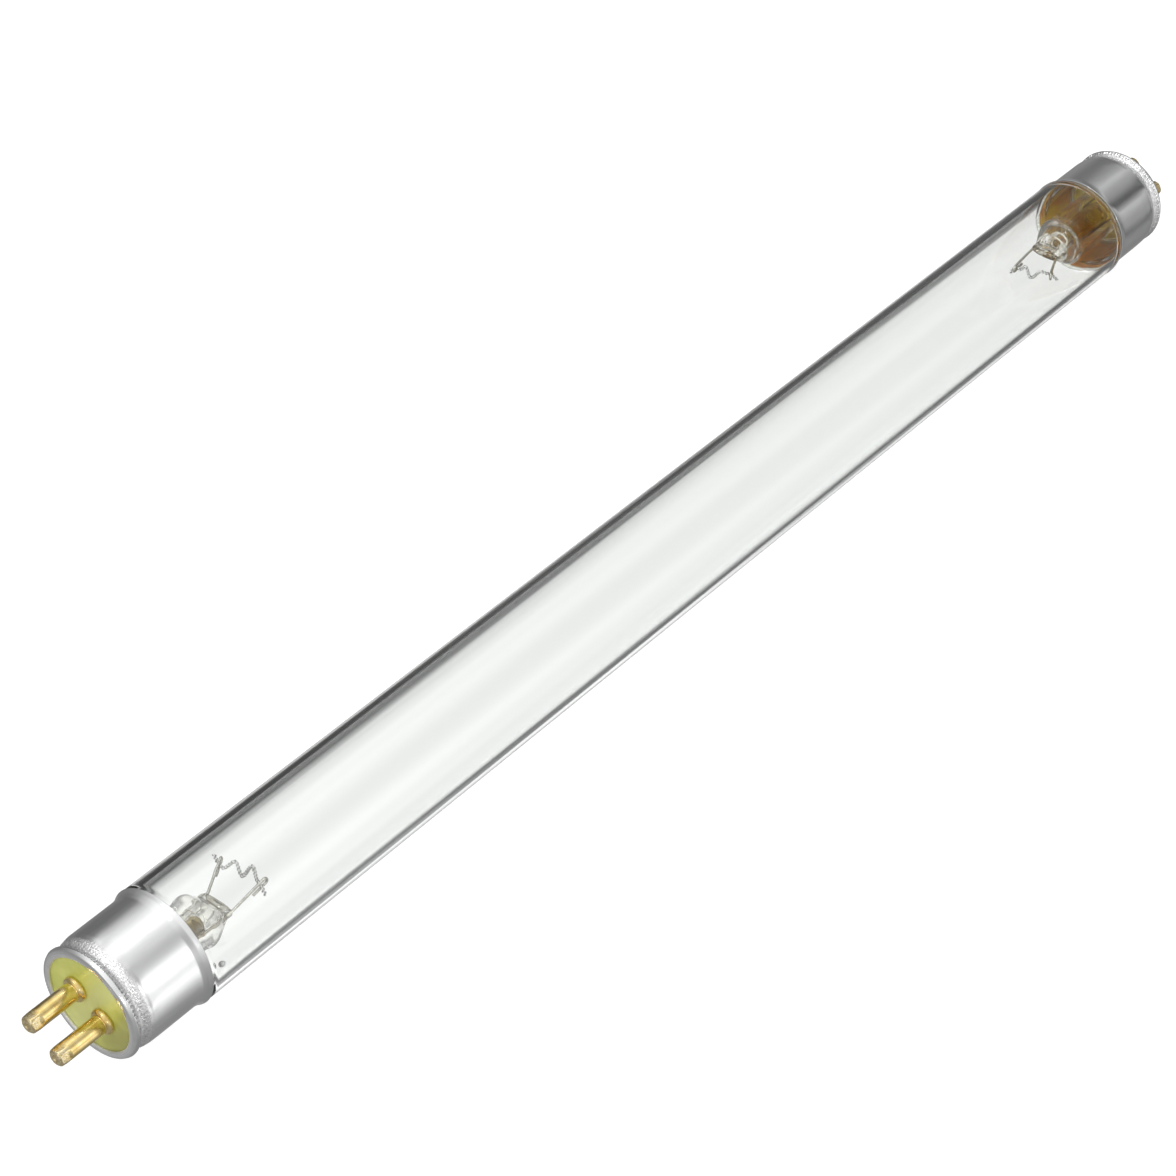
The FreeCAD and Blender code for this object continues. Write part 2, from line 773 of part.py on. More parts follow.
# ------------------------------------------------------------------ cement
def build_cement(end):
    """Cement ring that fills the space between the glass neck and the cap."""
    name = f"basing_cement_{end}"
    body = new_body(name)
    t = S["sheet_t"]
    # the last stretch lies between the glass shoulder and the flaring lip
    slope = (S["cement_to"] - S["lip_from"] - 0.06) * (0.23 / 0.79)
    points = [
        (S["cement_from"], S["neck_r"]),
        (S["cement_from"], S["cap_r"] - t),
        (S["lip_from"] + 0.06, S["cap_r"] - t),
        (S["cement_to"], S["cap_r"] - t + slope),
        (S["cement_to"], S["neck_r"] + 0.24),
        (S["cement_to"] - 0.2, S["neck_r"] + 0.142),
        (S["neck_from"] + 0.4, S["neck_r"] + 0.048),
        (S["neck_from"], S["neck_r"]),
    ]
    revolve(body, f"cement_ring_{end}", points)
    place(body, end)
    return keep(body, name)


# ------------------------------------------------------------------- drop
def build_drop():
    """Mercury drop on the inside of the glass, near end a."""
    name = "mercury_drop"
    ball = doc.addObject("Part::Sphere", "drop_ball")
    ball.Radius = N["drop_r"]
    ball.setExpression("Radius", "Dimensions.drop_r")
    reach = N["tube_r"] - N["tube_wall"] - N["drop_r"] + N["drop_sink"]
    ang = math.radians(N["drop_angle"])
    ball.Placement = Placement(
        Vector(
            N["drop_x"] - N["half_length"], reach * math.cos(ang), reach * math.sin(ang)
        ),
        Rotation(),
    )
    ball.setExpression("Placement.Base.x", "Dimensions.drop_x - Dimensions.half_length")
    bore = doc.addObject("Part::Cylinder", "drop_bore")
    bore.Radius = N["tube_r"] - N["tube_wall"]
    bore.setExpression("Radius", "Dimensions.tube_r - Dimensions.tube_wall")
    bore.Height = 4
    bore.Placement = Placement(
        Vector(N["drop_x"] - N["half_length"] - 2, 0, 0),
        Rotation(Vector(0, 0, 1), AX),
    )
    drop = doc.addObject("Part::Common", "drop")
    drop.Base, drop.Tool = ball, bore
    doc.recompute()
    return keep(drop, name)


build_envelope()
for end in ("a", "b"):
    build_stem(end)
    build_exhaust(end)
    build_wires(end)
    build_shell(end)
    build_disc(end)
    # pin 1 is at +Y and pin 2 at -Y, at both ends
    build_pin(end, 1, 1)
    build_pin(end, 2, -1)
    build_cement(end)
build_drop()
doc.recompute()

# ------------------------------------------------------------------ export
bad = []
for obj in doc.Objects:
    if any(word in obj.State for word in ("Invalid", "Error")):
        bad.append(f"{obj.Name}: {obj.State}")
for name, obj in PARTS.items():
    shape = obj.Shape
    if shape.isNull() or not shape.isValid():
        bad.append(f"{name}: no valid shape")
    elif len(shape.Solids) != 1:
        bad.append(f"{name}: {len(shape.Solids)} solids")
    elif shape.Volume <= 0:
        bad.append(f"{name}: volume {shape.Volume}")
if bad:
    print("\n".join(bad))
    sys.exit(1)

os.makedirs("parts", exist_ok=True)
for name, obj in PARTS.items():
    obj.Shape.exportStep(f"parts/{name}.step")
    box = obj.Shape.BoundBox
    print(
        f"{name:22s} {obj.Shape.Volume:10.3f} mm3  "
        f"x {box.XMin:8.2f} {box.XMax:8.2f}  y {box.YMin:6.2f} {box.YMax:6.2f}  "
        f"z {box.ZMin:6.2f} {box.ZMax:6.2f}"
    )
print(len(PARTS), "parts")
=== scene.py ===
import math

import bmesh
import bpy
import numpy as np
from mathutils import Matrix, Vector


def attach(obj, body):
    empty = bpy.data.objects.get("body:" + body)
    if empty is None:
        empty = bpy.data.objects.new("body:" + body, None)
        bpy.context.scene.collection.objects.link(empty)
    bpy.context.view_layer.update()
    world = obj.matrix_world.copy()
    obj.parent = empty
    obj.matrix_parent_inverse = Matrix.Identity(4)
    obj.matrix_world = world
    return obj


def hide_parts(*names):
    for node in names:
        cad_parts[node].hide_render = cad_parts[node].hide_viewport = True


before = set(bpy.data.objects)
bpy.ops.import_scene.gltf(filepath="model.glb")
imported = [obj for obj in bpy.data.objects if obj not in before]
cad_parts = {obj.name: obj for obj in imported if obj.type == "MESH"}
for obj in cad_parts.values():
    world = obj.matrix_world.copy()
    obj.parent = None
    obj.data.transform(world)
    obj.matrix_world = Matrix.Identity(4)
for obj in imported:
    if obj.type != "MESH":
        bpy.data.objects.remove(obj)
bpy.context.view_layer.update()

MM = 0.001
HALF = 106.0
SIDE = np.array([0.0, 0.8555, -0.5178])
RISE = np.array([0.0, 0.5178, 0.8555])
RNG = np.random.default_rng(20)


# ------------------------------------------------------------ mesh helpers
def make_object(name, verts, faces, material, sharp=35.0, replaces=()):
    """A mesh from points in millimetres, smooth but for its sharp edges."""
    mesh = bpy.data.meshes.new(name)
    mesh.from_pydata([tuple(map(float, p)) for p in np.asarray(verts) * MM], [], faces)
    bm = bmesh.new()
    bm.from_mesh(mesh)
    bmesh.ops.recalc_face_normals(bm, faces=bm.faces)
    bm.to_mesh(mesh)
    bm.free()
    mesh.polygons.foreach_set("use_smooth", [True] * len(mesh.polygons))
    mesh.set_sharp_from_angle(angle=math.radians(sharp))
    mesh.materials.append(material)
    obj = bpy.data.objects.new(name, mesh)
    bpy.context.scene.collection.objects.link(obj)
    if replaces:
        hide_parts(*replaces)
    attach(obj, "root")
    return obj


def arc_points(a, b, centre, steps):
    """Points on the arc from a to b about centre, the short way, ends left out."""
    ta = math.atan2(a[1] - centre[1], a[0] - centre[0])
    tb = math.atan2(b[1] - centre[1], b[0] - centre[0])
    d = (tb - ta + math.pi) % (2 * math.pi) - math.pi
    r = math.hypot(a[0] - centre[0], a[1] - centre[1])
    return [
        (centre[0] + r * math.cos(ta + d * i / steps), centre[1] + r * math.sin(ta + d * i / steps))
        for i in range(1, steps)
    ]


def rounded(points, closed=False, default=0.0, steps=5):
    """A profile with its corners rounded. A point is (x, r) or (x, r, fillet)."""
    out, n = [], len(points)
    for i, p in enumerate(points):
        fillet = p[2] if len(p) > 2 else default
        q = np.array(p[:2], float)
        if fillet <= 0 or (not closed and i in (0, n - 1)):
            out.append(tuple(q))
            continue
        a, b = np.array(points[i - 1][:2], float), np.array(points[(i + 1) % n][:2], float)
        u, v = (a - q), (b - q)
        lu, lv = np.linalg.norm(u), np.linalg.norm(v)
        u, v = u / lu, v / lv
        cosine = float(np.clip(u @ v, -1, 1))
        half = math.acos(cosine) / 2
        if half > math.radians(88.5) or half < 0.02:
            out.append(tuple(q))
            continue
        t = min(fillet / math.tan(half), 0.48 * lu, 0.48 * lv)
        r = t * math.tan(half)
        w = (u + v) / np.linalg.norm(u + v)
        centre = q + w * (r / math.sin(half))
        s, e = q + u * t, q + v * t
        out.append(tuple(s))
        out.extend(arc_points(s, e, centre, steps))
        out.append(tuple(e))
    return out


def stations(points, longest):
    """The profile with long runs divided."""
    out = [points[0]]
    for a, b in zip(points, points[1:]):
        n = max(1, math.ceil(math.dist(a, b) / longest))
        out += [(a[0] + (b[0] - a[0]) * k / n, a[1] + (b[1] - a[1]) * k / n) for k in range(1, n + 1)]
    return out


def rings_mesh(rings, closed):
    """Quads between rings of equal count. A ring of one point is a pole."""
    verts, starts, faces = [], [], []
    for ring in rings:
        starts.append(len(verts))
        verts.extend(ring)
    pairs = list(zip(range(len(rings)), range(1, len(rings))))
    if closed:
        pairs.append((len(rings) - 1, 0))
    for i, j in pairs:
        a, b, na, nb = starts[i], starts[j], len(rings[i]), len(rings[j])
        n = max(na, nb)
        for k in range(n):
            m = (k + 1) % n
            if na == 1 and nb == 1:
                continue
            if na == 1:
                faces.append((a, b + k, b + m))
            elif nb == 1:
                faces.append((a + k, b, a + m))
            else:
                faces.append((a + k, b + k, b + m, a + m))
    return verts, faces


def axial(end, xl):
    return -HALF + xl if end == "a" else HALF - xl


def lathe(end, profile, count, y=0.0, z=0.0, shift=None):
    """Rings of a profile (inwards from the rim, radius) about a line along the tube."""
    theta = np.arange(count) * 2 * math.pi / count
    rings = []
    for xl, r in profile:
        if r < 1e-6:
            rings.append(np.array([[axial(end, xl), y, z]]))
            continue
        rr = np.full(count, r, float)
        xx = np.full(count, xl, float)
        if shift is not None:
            dx, dr = shift(xl, r, theta)
            rr, xx = rr + dr, xx + dx
        x = -HALF + xx if end == "a" else HALF - xx
        rings.append(np.stack([x, y + rr * np.cos(theta), z + rr * np.sin(theta)], 1))
    return rings


def frames_along(points):
    """Tangent and two normals at each point, carried along without twist."""
    p = np.asarray(points, float)
    t = np.gradient(p, axis=0)
    t /= np.linalg.norm(t, axis=1)[:, None]
    n = np.cross(t[0], [0.31, 0.87, 0.38])
    n /= np.linalg.norm(n)
    normals = [n]
    for i in range(1, len(p)):
        n = normals[-1] - t[i] * (normals[-1] @ t[i])
        normals.append(n / np.linalg.norm(n))
    n = np.array(normals)
    return p, t, n, np.cross(t, n)


def tube_rings(points, radius, sides, round_ends=True):
    p, t, n, b = frames_along(points)
    r = radius if hasattr(radius, "__len__") else np.full(len(p), radius)
    a = np.arange(sides) * 2 * math.pi / sides
    rings = [
        p[i] + r[i] * (np.cos(a)[:, None] * n[i] + np.sin(a)[:, None] * b[i]) for i in range(len(p))
    ]
    if round_ends:
        head = p[0] - t[0] * r[0] * 0.35
        tail = p[-1] + t[-1] * r[-1] * 0.35
        first = [head[None, :], head + 0.62 * (rings[0] - p[0])]
        last = [tail + 0.62 * (rings[-1] - p[-1]), tail[None, :]]
        rings = first + rings + last
    else:
        rings = [p[0][None, :]] + rings + [p[-1][None, :]]
    return rings


def spline(points, per_mm):
    """A smooth line through the points."""
    p = np.asarray(points, float)
    p = np.vstack([2 * p[0] - p[1], p, 2 * p[-1] - p[-2]])
    out = []
    for i in range(1, len(p) - 2):
        p0, p1, p2, p3 = p[i - 1 : i + 3]
        t0 = 0.0
        t1 = t0 + np.linalg.norm(p1 - p0) ** 0.5
        t2 = t1 + np.linalg.norm(p2 - p1) ** 0.5
        t3 = t2 + np.linalg.norm(p3 - p2) ** 0.5
        n = max(3, int(np.linalg.norm(p2 - p1) * per_mm))
        for t in np.linspace(t1, t2, n, endpoint=False):
            a1 = (t1 - t) / (t1 - t0) * p0 + (t - t0) / (t1 - t0) * p1
            a2 = (t2 - t) / (t2 - t1) * p1 + (t - t1) / (t2 - t1) * p2
            a3 = (t3 - t) / (t3 - t2) * p2 + (t - t2) / (t3 - t2) * p3
            b1 = (t2 - t) / (t2 - t0) * a1 + (t - t0) / (t2 - t0) * a2
            b2 = (t3 - t) / (t3 - t1) * a2 + (t - t1) / (t3 - t1) * a3
            out.append((t2 - t) / (t2 - t1) * b1 + (t - t1) / (t2 - t1) * b2)
    out.append(p[-2])
    return np.array(out)


def evenly(points, step):
    p = np.asarray(points, float)
    s = np.concatenate([[0], np.cumsum(np.linalg.norm(np.diff(p, axis=0), axis=1))])
    n = max(2, int(round(s[-1] / step)) + 1)
    q = np.linspace(0, s[-1], n)
    return np.stack([np.interp(q, s, p[:, k]) for k in range(3)], 1), s[-1]


def in_lamp(end, x, s, u):
    return np.array([axial(end, x), 0, 0]) + s * SIDE + u * RISE


# --------------------------------------------------------------- materials
def material(name):
    m = bpy.data.materials.new(name)
    m.use_nodes = True
    tree = m.node_tree
    tree.nodes.clear()
    out = tree.nodes.new("ShaderNodeOutputMaterial")
    shader = tree.nodes.new("ShaderNodeBsdfPrincipled")
    tree.links.new(shader.outputs["BSDF"], out.inputs["Surface"])
    return m, tree, shader


def add(tree, kind, inputs=None, **props):
    node = tree.nodes.new(kind)
    for k, v in props.items():
        setattr(node, k, v)
    for k, v in (inputs or {}).items():
        if isinstance(v, bpy.types.NodeSocket):
            tree.links.new(v, node.inputs[k])
        else:
            node.inputs[k].default_value = v
    return node


def place_of(tree, scale=(1, 1, 1)):
    """Position on the piece, in the lamp's own frame, stretched by scale."""
    coord = add(tree, "ShaderNodeTexCoord")
    mapped = add(tree, "ShaderNodeMapping", {"Vector": coord.outputs["Object"], "Scale": scale})
    return mapped.outputs["Vector"]


def ramp(tree, factor, stops, interpolation="LINEAR"):
    node = add(tree, "ShaderNodeValToRGB", {"Fac": factor})
    node.color_ramp.interpolation = interpolation
    cr = node.color_ramp
    while len(cr.elements) > 1:
        cr.elements.remove(cr.elements[-1])
    for i, (pos, col) in enumerate(stops):
        e = cr.elements[0] if i == 0 else cr.elements.new(pos)
        e.position = pos
        col = (col, col, col) if not hasattr(col, "__len__") else col
        e.color = (*col, 1.0)
    return node.outputs["Color"]


def noise(tree, vector, scale, detail=3.0, rough=0.5, distortion=0.0):
    return add(
        tree,
        "ShaderNodeTexNoise",
        {"Vector": vector, "Scale": scale, "Detail": detail, "Roughness": rough, "Distortion": distortion},
    ).outputs["Fac"]


def math_node(tree, op, a, b=None, clamp=False):
    node = add(tree, "ShaderNodeMath", operation=op, use_clamp=clamp)
    for i, v in enumerate((a, b)):
        if v is None:
            continue
        if isinstance(v, bpy.types.NodeSocket):
            tree.links.new(v, node.inputs[i])
        else:
            node.inputs[i].default_value = v
    return node.outputs[0]


def mix_colour(tree, factor, a, b, blend="MIX"):
    node = add(tree, "ShaderNodeMix", data_type="RGBA", blend_type=blend)
    for key, v in ((0, factor), (6, a), (7, b)):
        if isinstance(v, bpy.types.NodeSocket):
            tree.links.new(v, node.inputs[key])
        elif key == 0:
            node.inputs[key].default_value = v
        else:
            node.inputs[key].default_value = (*v, 1.0)
    return node.outputs[2]


def bump(tree, height, strength, distance, normal=None):
    inputs = {"Height": height, "Strength": strength, "Distance": distance}
    if normal is not None:
        inputs["Normal"] = normal
    return add(tree, "ShaderNodeBump", inputs).outputs["Normal"]


def glass(name, tint, painted_edge_shade, scratch=0.0, scratch_scale=(60, 900, 900)):
    m, tree, s = material(name)
    s.inputs["Transmission Weight"].default_value = 1.0
    s.inputs["IOR"].default_value = 1.5
    s.inputs["Roughness"].default_value = 0.0
    # the colour darkens towards grazing angles: painted shade standing in for the dark edges of the glass
    facing = add(tree, "ShaderNodeLayerWeight", {"Blend": 0.5}).outputs["Facing"]
    colour = ramp(
        tree,
        facing,
        [
            (0.0, tint),
            (0.60, tint),
            (0.80, tuple(0.45 * a + 0.55 * b for a, b in zip(tint, painted_edge_shade))),
            (0.95, painted_edge_shade),
        ],
    )
    tree.links.new(colour, s.inputs["Base Color"])
    if scratch:
        v = place_of(tree, scratch_scale)
        height = noise(tree, v, 1.0, 4.0, 0.6)
        tree.links.new(bump(tree, height, scratch, 0.00002), s.inputs["Normal"])
    return m


def along_lamp(tree):
    """Distance in metres from the nearer rim, inwards."""
    coord = add(tree, "ShaderNodeTexCoord")
    xyz = add(tree, "ShaderNodeSeparateXYZ", {"Vector": coord.outputs["Object"]})
    return math_node(tree, "SUBTRACT", HALF * MM, math_node(tree, "ABSOLUTE", xyz.outputs["X"]))


def between(tree, value, a, b, c, d):
    """1 between b and c, falling to 0 at a and d."""
    rise = add(tree, "ShaderNodeMapRange", {"Value": value, "From Min": a, "From Max": b}, interpolation_type="SMOOTHSTEP")
    fall = add(
        tree,
        "ShaderNodeMapRange",
        {"Value": value, "From Min": c, "From Max": d, "To Min": 1.0, "To Max": 0.0},
        interpolation_type="SMOOTHSTEP",
    )
    return math_node(tree, "MULTIPLY", rise.outputs["Result"], fall.outputs["Result"])


def aluminium(name):
    m, tree, s = material(name)
    s.inputs["Metallic"].default_value = 1.0
    lines = noise(tree, place_of(tree, (90, 15000, 15000)), 1.0, 3.0, 0.55)
    broad = noise(tree, place_of(tree, (160, 700, 700)), 1.0, 4.0, 0.6)
    spots = noise(tree, place_of(tree), 2400.0, 5.0, 0.72)
    salt = noise(tree, place_of(tree), 4300.0, 2.5, 0.55)
    away = along_lamp(tree)
    crimp = between(tree, away, 0.0007, 0.0011, 0.0023, 0.0030)
    colour = ramp(tree, broad, [(0.3, (0.85, 0.855, 0.855)), (0.7, (0.91, 0.915, 0.915))])
    colour = mix_colour(
        tree, ramp(tree, spots, [(0.66, 0.0), (0.76, 0.5)]), colour, (0.58, 0.58, 0.57)
    )
    pitted = mix_colour(tree, ramp(tree, salt, [(0.36, 0.0), (0.50, 1.0)]), (0.70, 0.70, 0.70), (1.0, 1.0, 1.0))
    colour = mix_colour(tree, crimp, colour, pitted)
    # short dark marks across the back of the bead, one to each tooth of the crimping wheel: painted shade in the
    # notches it left
    place = add(tree, "ShaderNodeSeparateXYZ", {"Vector": place_of(tree)})
    turn = math_node(tree, "MULTIPLY", math_node(tree, "ARCTAN2", place.outputs["Z"], place.outputs["Y"]), 92 / (2 * math.pi))
    turn = math_node(tree, "ADD", turn, math_node(tree, "MULTIPLY", noise(tree, place_of(tree), 900.0, 2.0, 0.5), 1.4))
    painted_notch_shade = math_node(tree, "PINGPONG", turn, 0.5)
    painted_notch_shade = ramp(tree, painted_notch_shade, [(0.30, 0.0), (0.44, 1.0)])
    painted_notch_shade = mix_colour(tree, 1.0, painted_notch_shade, ramp(tree, noise(tree, place_of(tree), 420.0, 2.0, 0.5), [(0.38, 0.15), (0.60, 0.75)]), "MULTIPLY")
    painted_notch_shade = mix_colour(tree, 1.0, painted_notch_shade, between(tree, away, 0.00050, 0.00062, 0.00100, 0.00125), "MULTIPLY")
    colour = mix_colour(tree, painted_notch_shade, colour, (0.36, 0.36, 0.36))
    level = add(tree, "ShaderNodeCombineXYZ", {"Y": place.outputs["Y"], "Z": place.outputs["Z"]})
    girth = add(tree, "ShaderNodeVectorMath", {0: level.outputs["Vector"]}, operation="LENGTH").outputs["Value"]
    inside = add(tree, "ShaderNodeMapRange", {"Value": girth, "From Min": 0.00720, "From Max": 0.00718}).outputs["Result"]
    beyond = add(tree, "ShaderNodeMapRange", {"Value": away, "From Min": 0.0022, "From Max": 0.0026}).outputs["Result"]
    film = math_node(tree, "MULTIPLY", inside, beyond)
    resin = ramp(tree, broad, [(0.35, (0.38, 0.165, 0.010)), (0.65, (0.50, 0.32, 0.030))])
    colour = mix_colour(tree, math_node(tree, "MULTIPLY", film, 0.95), colour, resin)
    tree.links.new(colour, s.inputs["Base Color"])
    rough = math_node(tree, "MULTIPLY_ADD", lines, 0.08)
    rough.node.inputs[2].default_value = 0.10
    rough = math_node(tree, "ADD", rough, math_node(tree, "MULTIPLY", broad, 0.06))
    rough = math_node(tree, "ADD", rough, math_node(tree, "MULTIPLY", crimp, 0.16))
    # the curl against the disc is duller
    xyz = add(tree, "ShaderNodeSeparateXYZ", {"Vector": place_of(tree)})
    flat = add(tree, "ShaderNodeCombineXYZ", {"Y": xyz.outputs["Y"], "Z": xyz.outputs["Z"]})
    radius = add(tree, "ShaderNodeVectorMath", {0: flat.outputs["Vector"]}, operation="LENGTH").outputs["Value"]
    curl = math_node(
        tree, "MULTIPLY", between(tree, away, -0.0020, -0.0010, 0.0005, 0.0008), between(tree, radius, 0.001, 0.002, 0.00648, 0.00670)
    )
    rough = math_node(tree, "ADD", rough, math_node(tree, "MULTIPLY", curl, 0.45))
    rough = math_node(tree, "ADD", rough, math_node(tree, "MULTIPLY", film, 0.45))
    tree.links.new(rough, s.inputs["Roughness"])
    normal = bump(tree, lines, 0.10, 0.00001)
    normal = bump(tree, broad, 0.30, 0.00003, normal)
    normal = bump(tree, math_node(tree, "MULTIPLY", crimp, salt), 1.0, 0.00009, normal)
    tree.links.new(normal, s.inputs["Normal"])
    return m


def brass(name):
    m, tree, s = material(name)
    s.inputs["Metallic"].default_value = 1.0
    v = place_of(tree)
    blotch = noise(tree, v, 700.0, 4.0, 0.6)
    lines = noise(tree, place_of(tree, (900, 9000, 9000)), 1.0, 3.0, 0.6)
    colour = ramp(
        tree,
        blotch,
        [(0.3, (0.70, 0.49, 0.17)), (0.50, (0.85, 0.65, 0.26)), (0.70, (0.94, 0.78, 0.42))],
    )
    # the soldered, rubbed end is greyer
    coord = add(tree, "ShaderNodeTexCoord")
    xyz = add(tree, "ShaderNodeSeparateXYZ", {"Vector": coord.outputs["Object"]})
    far = math_node(tree, "ABSOLUTE", xyz.outputs["X"])
    worn = math_node(tree, "MULTIPLY", math_node(tree, "SUBTRACT", far, 0.1117), 1400.0, True)
    worn = math_node(tree, "MULTIPLY", worn, ramp(tree, noise(tree, v, 2600.0, 4.0, 0.65), [(0.35, 0.15), (0.6, 0.65)]))
    colour = mix_colour(tree, worn, colour, (0.80, 0.70, 0.47))
    grit = noise(tree, v, 4600.0, 3.0, 0.6)
    rubbed = math_node(tree, "MULTIPLY", math_node(tree, "SUBTRACT", far, 0.1110), 900.0, True)
    colour = mix_colour(tree, math_node(tree, "MULTIPLY", rubbed, ramp(tree, grit, [(0.50, 0.0), (0.62, 0.6)])), colour, (0.99, 0.90, 0.68))
    colour = mix_colour(tree, math_node(tree, "MULTIPLY", rubbed, ramp(tree, grit, [(0.36, 0.55), (0.46, 0.0)])), colour, (0.58, 0.40, 0.15))
    tree.links.new(colour, s.inputs["Base Color"])
    rough = math_node(tree, "MULTIPLY_ADD", lines, 0.12)
    rough.node.inputs[2].default_value = 0.10
    rough = math_node(tree, "ADD", rough, math_node(tree, "MULTIPLY", worn, 0.16))
    tree.links.new(rough, s.inputs["Roughness"])
    normal = bump(tree, lines, 0.10, 0.00001)
    normal = bump(tree, blotch, 0.14, 0.00003, normal)
    normal = bump(tree, math_node(tree, "MULTIPLY", rubbed, grit), 0.55, 0.00005, normal)
    tree.links.new(normal, s.inputs["Normal"])
    return m


def board(name):
    """Insulating disc: satin yellow-green, with a painted sheen paler across its centre and painted shade darkening one
    side.
    """
    m, tree, s = material(name)
    v = place_of(tree)
    cloud = noise(tree, v, 230.0, 3.0, 0.5, 0.5)
    fibre = noise(tree, place_of(tree, (3000, 5200, 4400)), 1.0, 4.0, 0.6)
    speck = noise(tree, v, 5200.0, 3.0, 0.7)
    colour = ramp(
        tree,
        cloud,
        [(0.30, (0.44, 0.46, 0.080)), (0.5, (0.51, 0.53, 0.102)), (0.72, (0.60, 0.62, 0.15))],
    )
    xyz = add(tree, "ShaderNodeSeparateXYZ", {"Vector": v})
    across = math_node(tree, "ADD", xyz.outputs["Y"], math_node(tree, "MULTIPLY", math_node(tree, "SUBTRACT", cloud, 0.5), 0.004))
    # paler in a band across the centre between the pins: a painted sheen
    painted_sheen_band = between(tree, across, -0.0034, -0.0004, 0.0004, 0.0030)
    colour = mix_colour(tree, math_node(tree, "MULTIPLY", painted_sheen_band, 0.40), colour, (0.70, 0.71, 0.32))
    # darker towards -Y: painted shade from the rim
    painted_side_shade = add(
        tree,
        "ShaderNodeMapRange",
        {"Value": across, "From Min": -0.0014, "From Max": -0.0060, "To Max": 0.85},
        interpolation_type="SMOOTHSTEP",
    ).outputs["Result"]
    colour = mix_colour(tree, painted_side_shade, colour, (0.25, 0.235, 0.048))
    inner = add(tree, "ShaderNodeMapRange", {"Value": along_lamp(tree), "From Min": 0.0012, "From Max": 0.0017}).outputs["Result"]
    stain = ramp(tree, cloud, [(0.35, (0.34, 0.22, 0.025)), (0.62, (0.46, 0.38, 0.055))])
    colour = mix_colour(tree, ramp(tree, fibre, [(0.55, 0.0), (0.8, 0.15)]), colour, (0.68, 0.67, 0.30))
    colour = mix_colour(tree, math_node(tree, "MULTIPLY", inner, 0.85), colour, stain)
    colour = mix_colour(tree, ramp(tree, speck, [(0.69, 0.0), (0.78, 0.45)]), colour, (0.30, 0.28, 0.06))
    tree.links.new(colour, s.inputs["Base Color"])
    tree.links.new(ramp(tree, fibre, [(0.3, 0.34), (0.7, 0.48)]), s.inputs["Roughness"])
    s.inputs["Coat Weight"].default_value = 0.35
    s.inputs["Coat Roughness"].default_value = 0.16
    normal = bump(tree, fibre, 0.16, 0.00004)
    tree.links.new(bump(tree, cloud, 0.35, 0.00014, normal), s.inputs["Normal"])
    return m


def cement_look(name):
    """Baked cement: red-brown with golden and dark patches."""
    m, tree, s = material(name)
    v = place_of(tree)
    patch = noise(tree, place_of(tree, (110, 210, 210)), 1.0, 2.5, 0.55, 0.8)
    grain = noise(tree, v, 3400.0, 5.0, 0.7)
    dark = noise(tree, place_of(tree, (120, 520, 520)), 1.0, 4.0, 0.6)
    colour = ramp(
        tree,
        patch,
        [
            (0.30, (0.25, 0.085, 0.005)),
            (0.44, (0.42, 0.155, 0.007)),
            (0.53, (0.50, 0.205, 0.009)),
            (0.62, (0.49, 0.300, 0.014)),
            (0.76, (0.53, 0.375, 0.024)),
        ],
    )
    colour = mix_colour(tree, ramp(tree, dark, [(0.53, 0.0), (0.74, 0.50)]), colour, (0.19, 0.078, 0.006))
    colour = mix_colour(tree, ramp(tree, grain, [(0.35, 0.3), (0.6, 0.0)]), colour, (0.22, 0.11, 0.020))
    tree.links.new(colour, s.inputs["Base Color"])
    tree.links.new(ramp(tree, grain, [(0.3, 0.45), (0.7, 0.75)]), s.inputs["Roughness"])
    tree.links.new(bump(tree, grain, 0.4, 0.00005), s.inputs["Normal"])
    return m


def wire_look(name, low, high, rough_low, rough_high, metallic=1.0, strength=0.2):
    m, tree, s = material(name)
    s.inputs["Metallic"].default_value = metallic
    v = place_of(tree)
    tone = noise(tree, v, 1800.0, 4.0, 0.6)
    colour = ramp(tree, tone, [(0.32, low), (0.68, high)])
    tree.links.new(colour, s.inputs["Base Color"])
    fine = noise(tree, v, 9000.0, 3.0, 0.6)
    tree.links.new(ramp(tree, fine, [(0.3, rough_low), (0.7, rough_high)]), s.inputs["Roughness"])
    tree.links.new(bump(tree, fine, strength, 0.00001), s.inputs["Normal"])
    return m


CLEAR = glass("clear_tube_glass", (0.985, 0.995, 0.985), (0.80, 0.82, 0.80), 0.05, (25, 700, 700))
STEM = glass("stem_glass", (0.985, 0.983, 0.965), (0.74, 0.73, 0.69), 0.25, (500, 900, 900))
# the far stem's glass has a warmer tint and paler, warmer edges than the near one's: painted warm light from the brown
# cement round it
STEM_PAINTED_WARM_LIGHT = glass("stem_glass_painted_warm_light", (0.985, 0.978, 0.945), (0.90, 0.86, 0.76), 0.50, (500, 900, 900))
CAP = aluminium("drawn_aluminium")
BRASS = brass("pin_brass")
BOARD = board("yellow_green_board")
CEMENT = cement_look("baked_cement")
NICKEL = wire_look("nickel_wire", (0.58, 0.57, 0.52), (0.84, 0.82, 0.75), 0.14, 0.30)
COPPER = wire_look("dull_copper", (0.20, 0.150, 0.10), (0.36, 0.29, 0.21), 0.28, 0.45)
SEAL = wire_look("seal_wire_grey", (0.30, 0.27, 0.23), (0.52, 0.49, 0.44), 0.3, 0.5)
TUNGSTEN = wire_look("tungsten_wire", (0.30, 0.30, 0.295), (0.60, 0.60, 0.59), 0.28, 0.5)
POWDER = wire_look("oxide_coat", (0.44, 0.44, 0.43), (0.72, 0.72, 0.70), 0.8, 0.95, 0.0, 0.6)
MERCURY = wire_look("mercury", (0.78, 0.79, 0.80), (0.92, 0.93, 0.94), 0.50, 0.65, 1.0, 0.02)


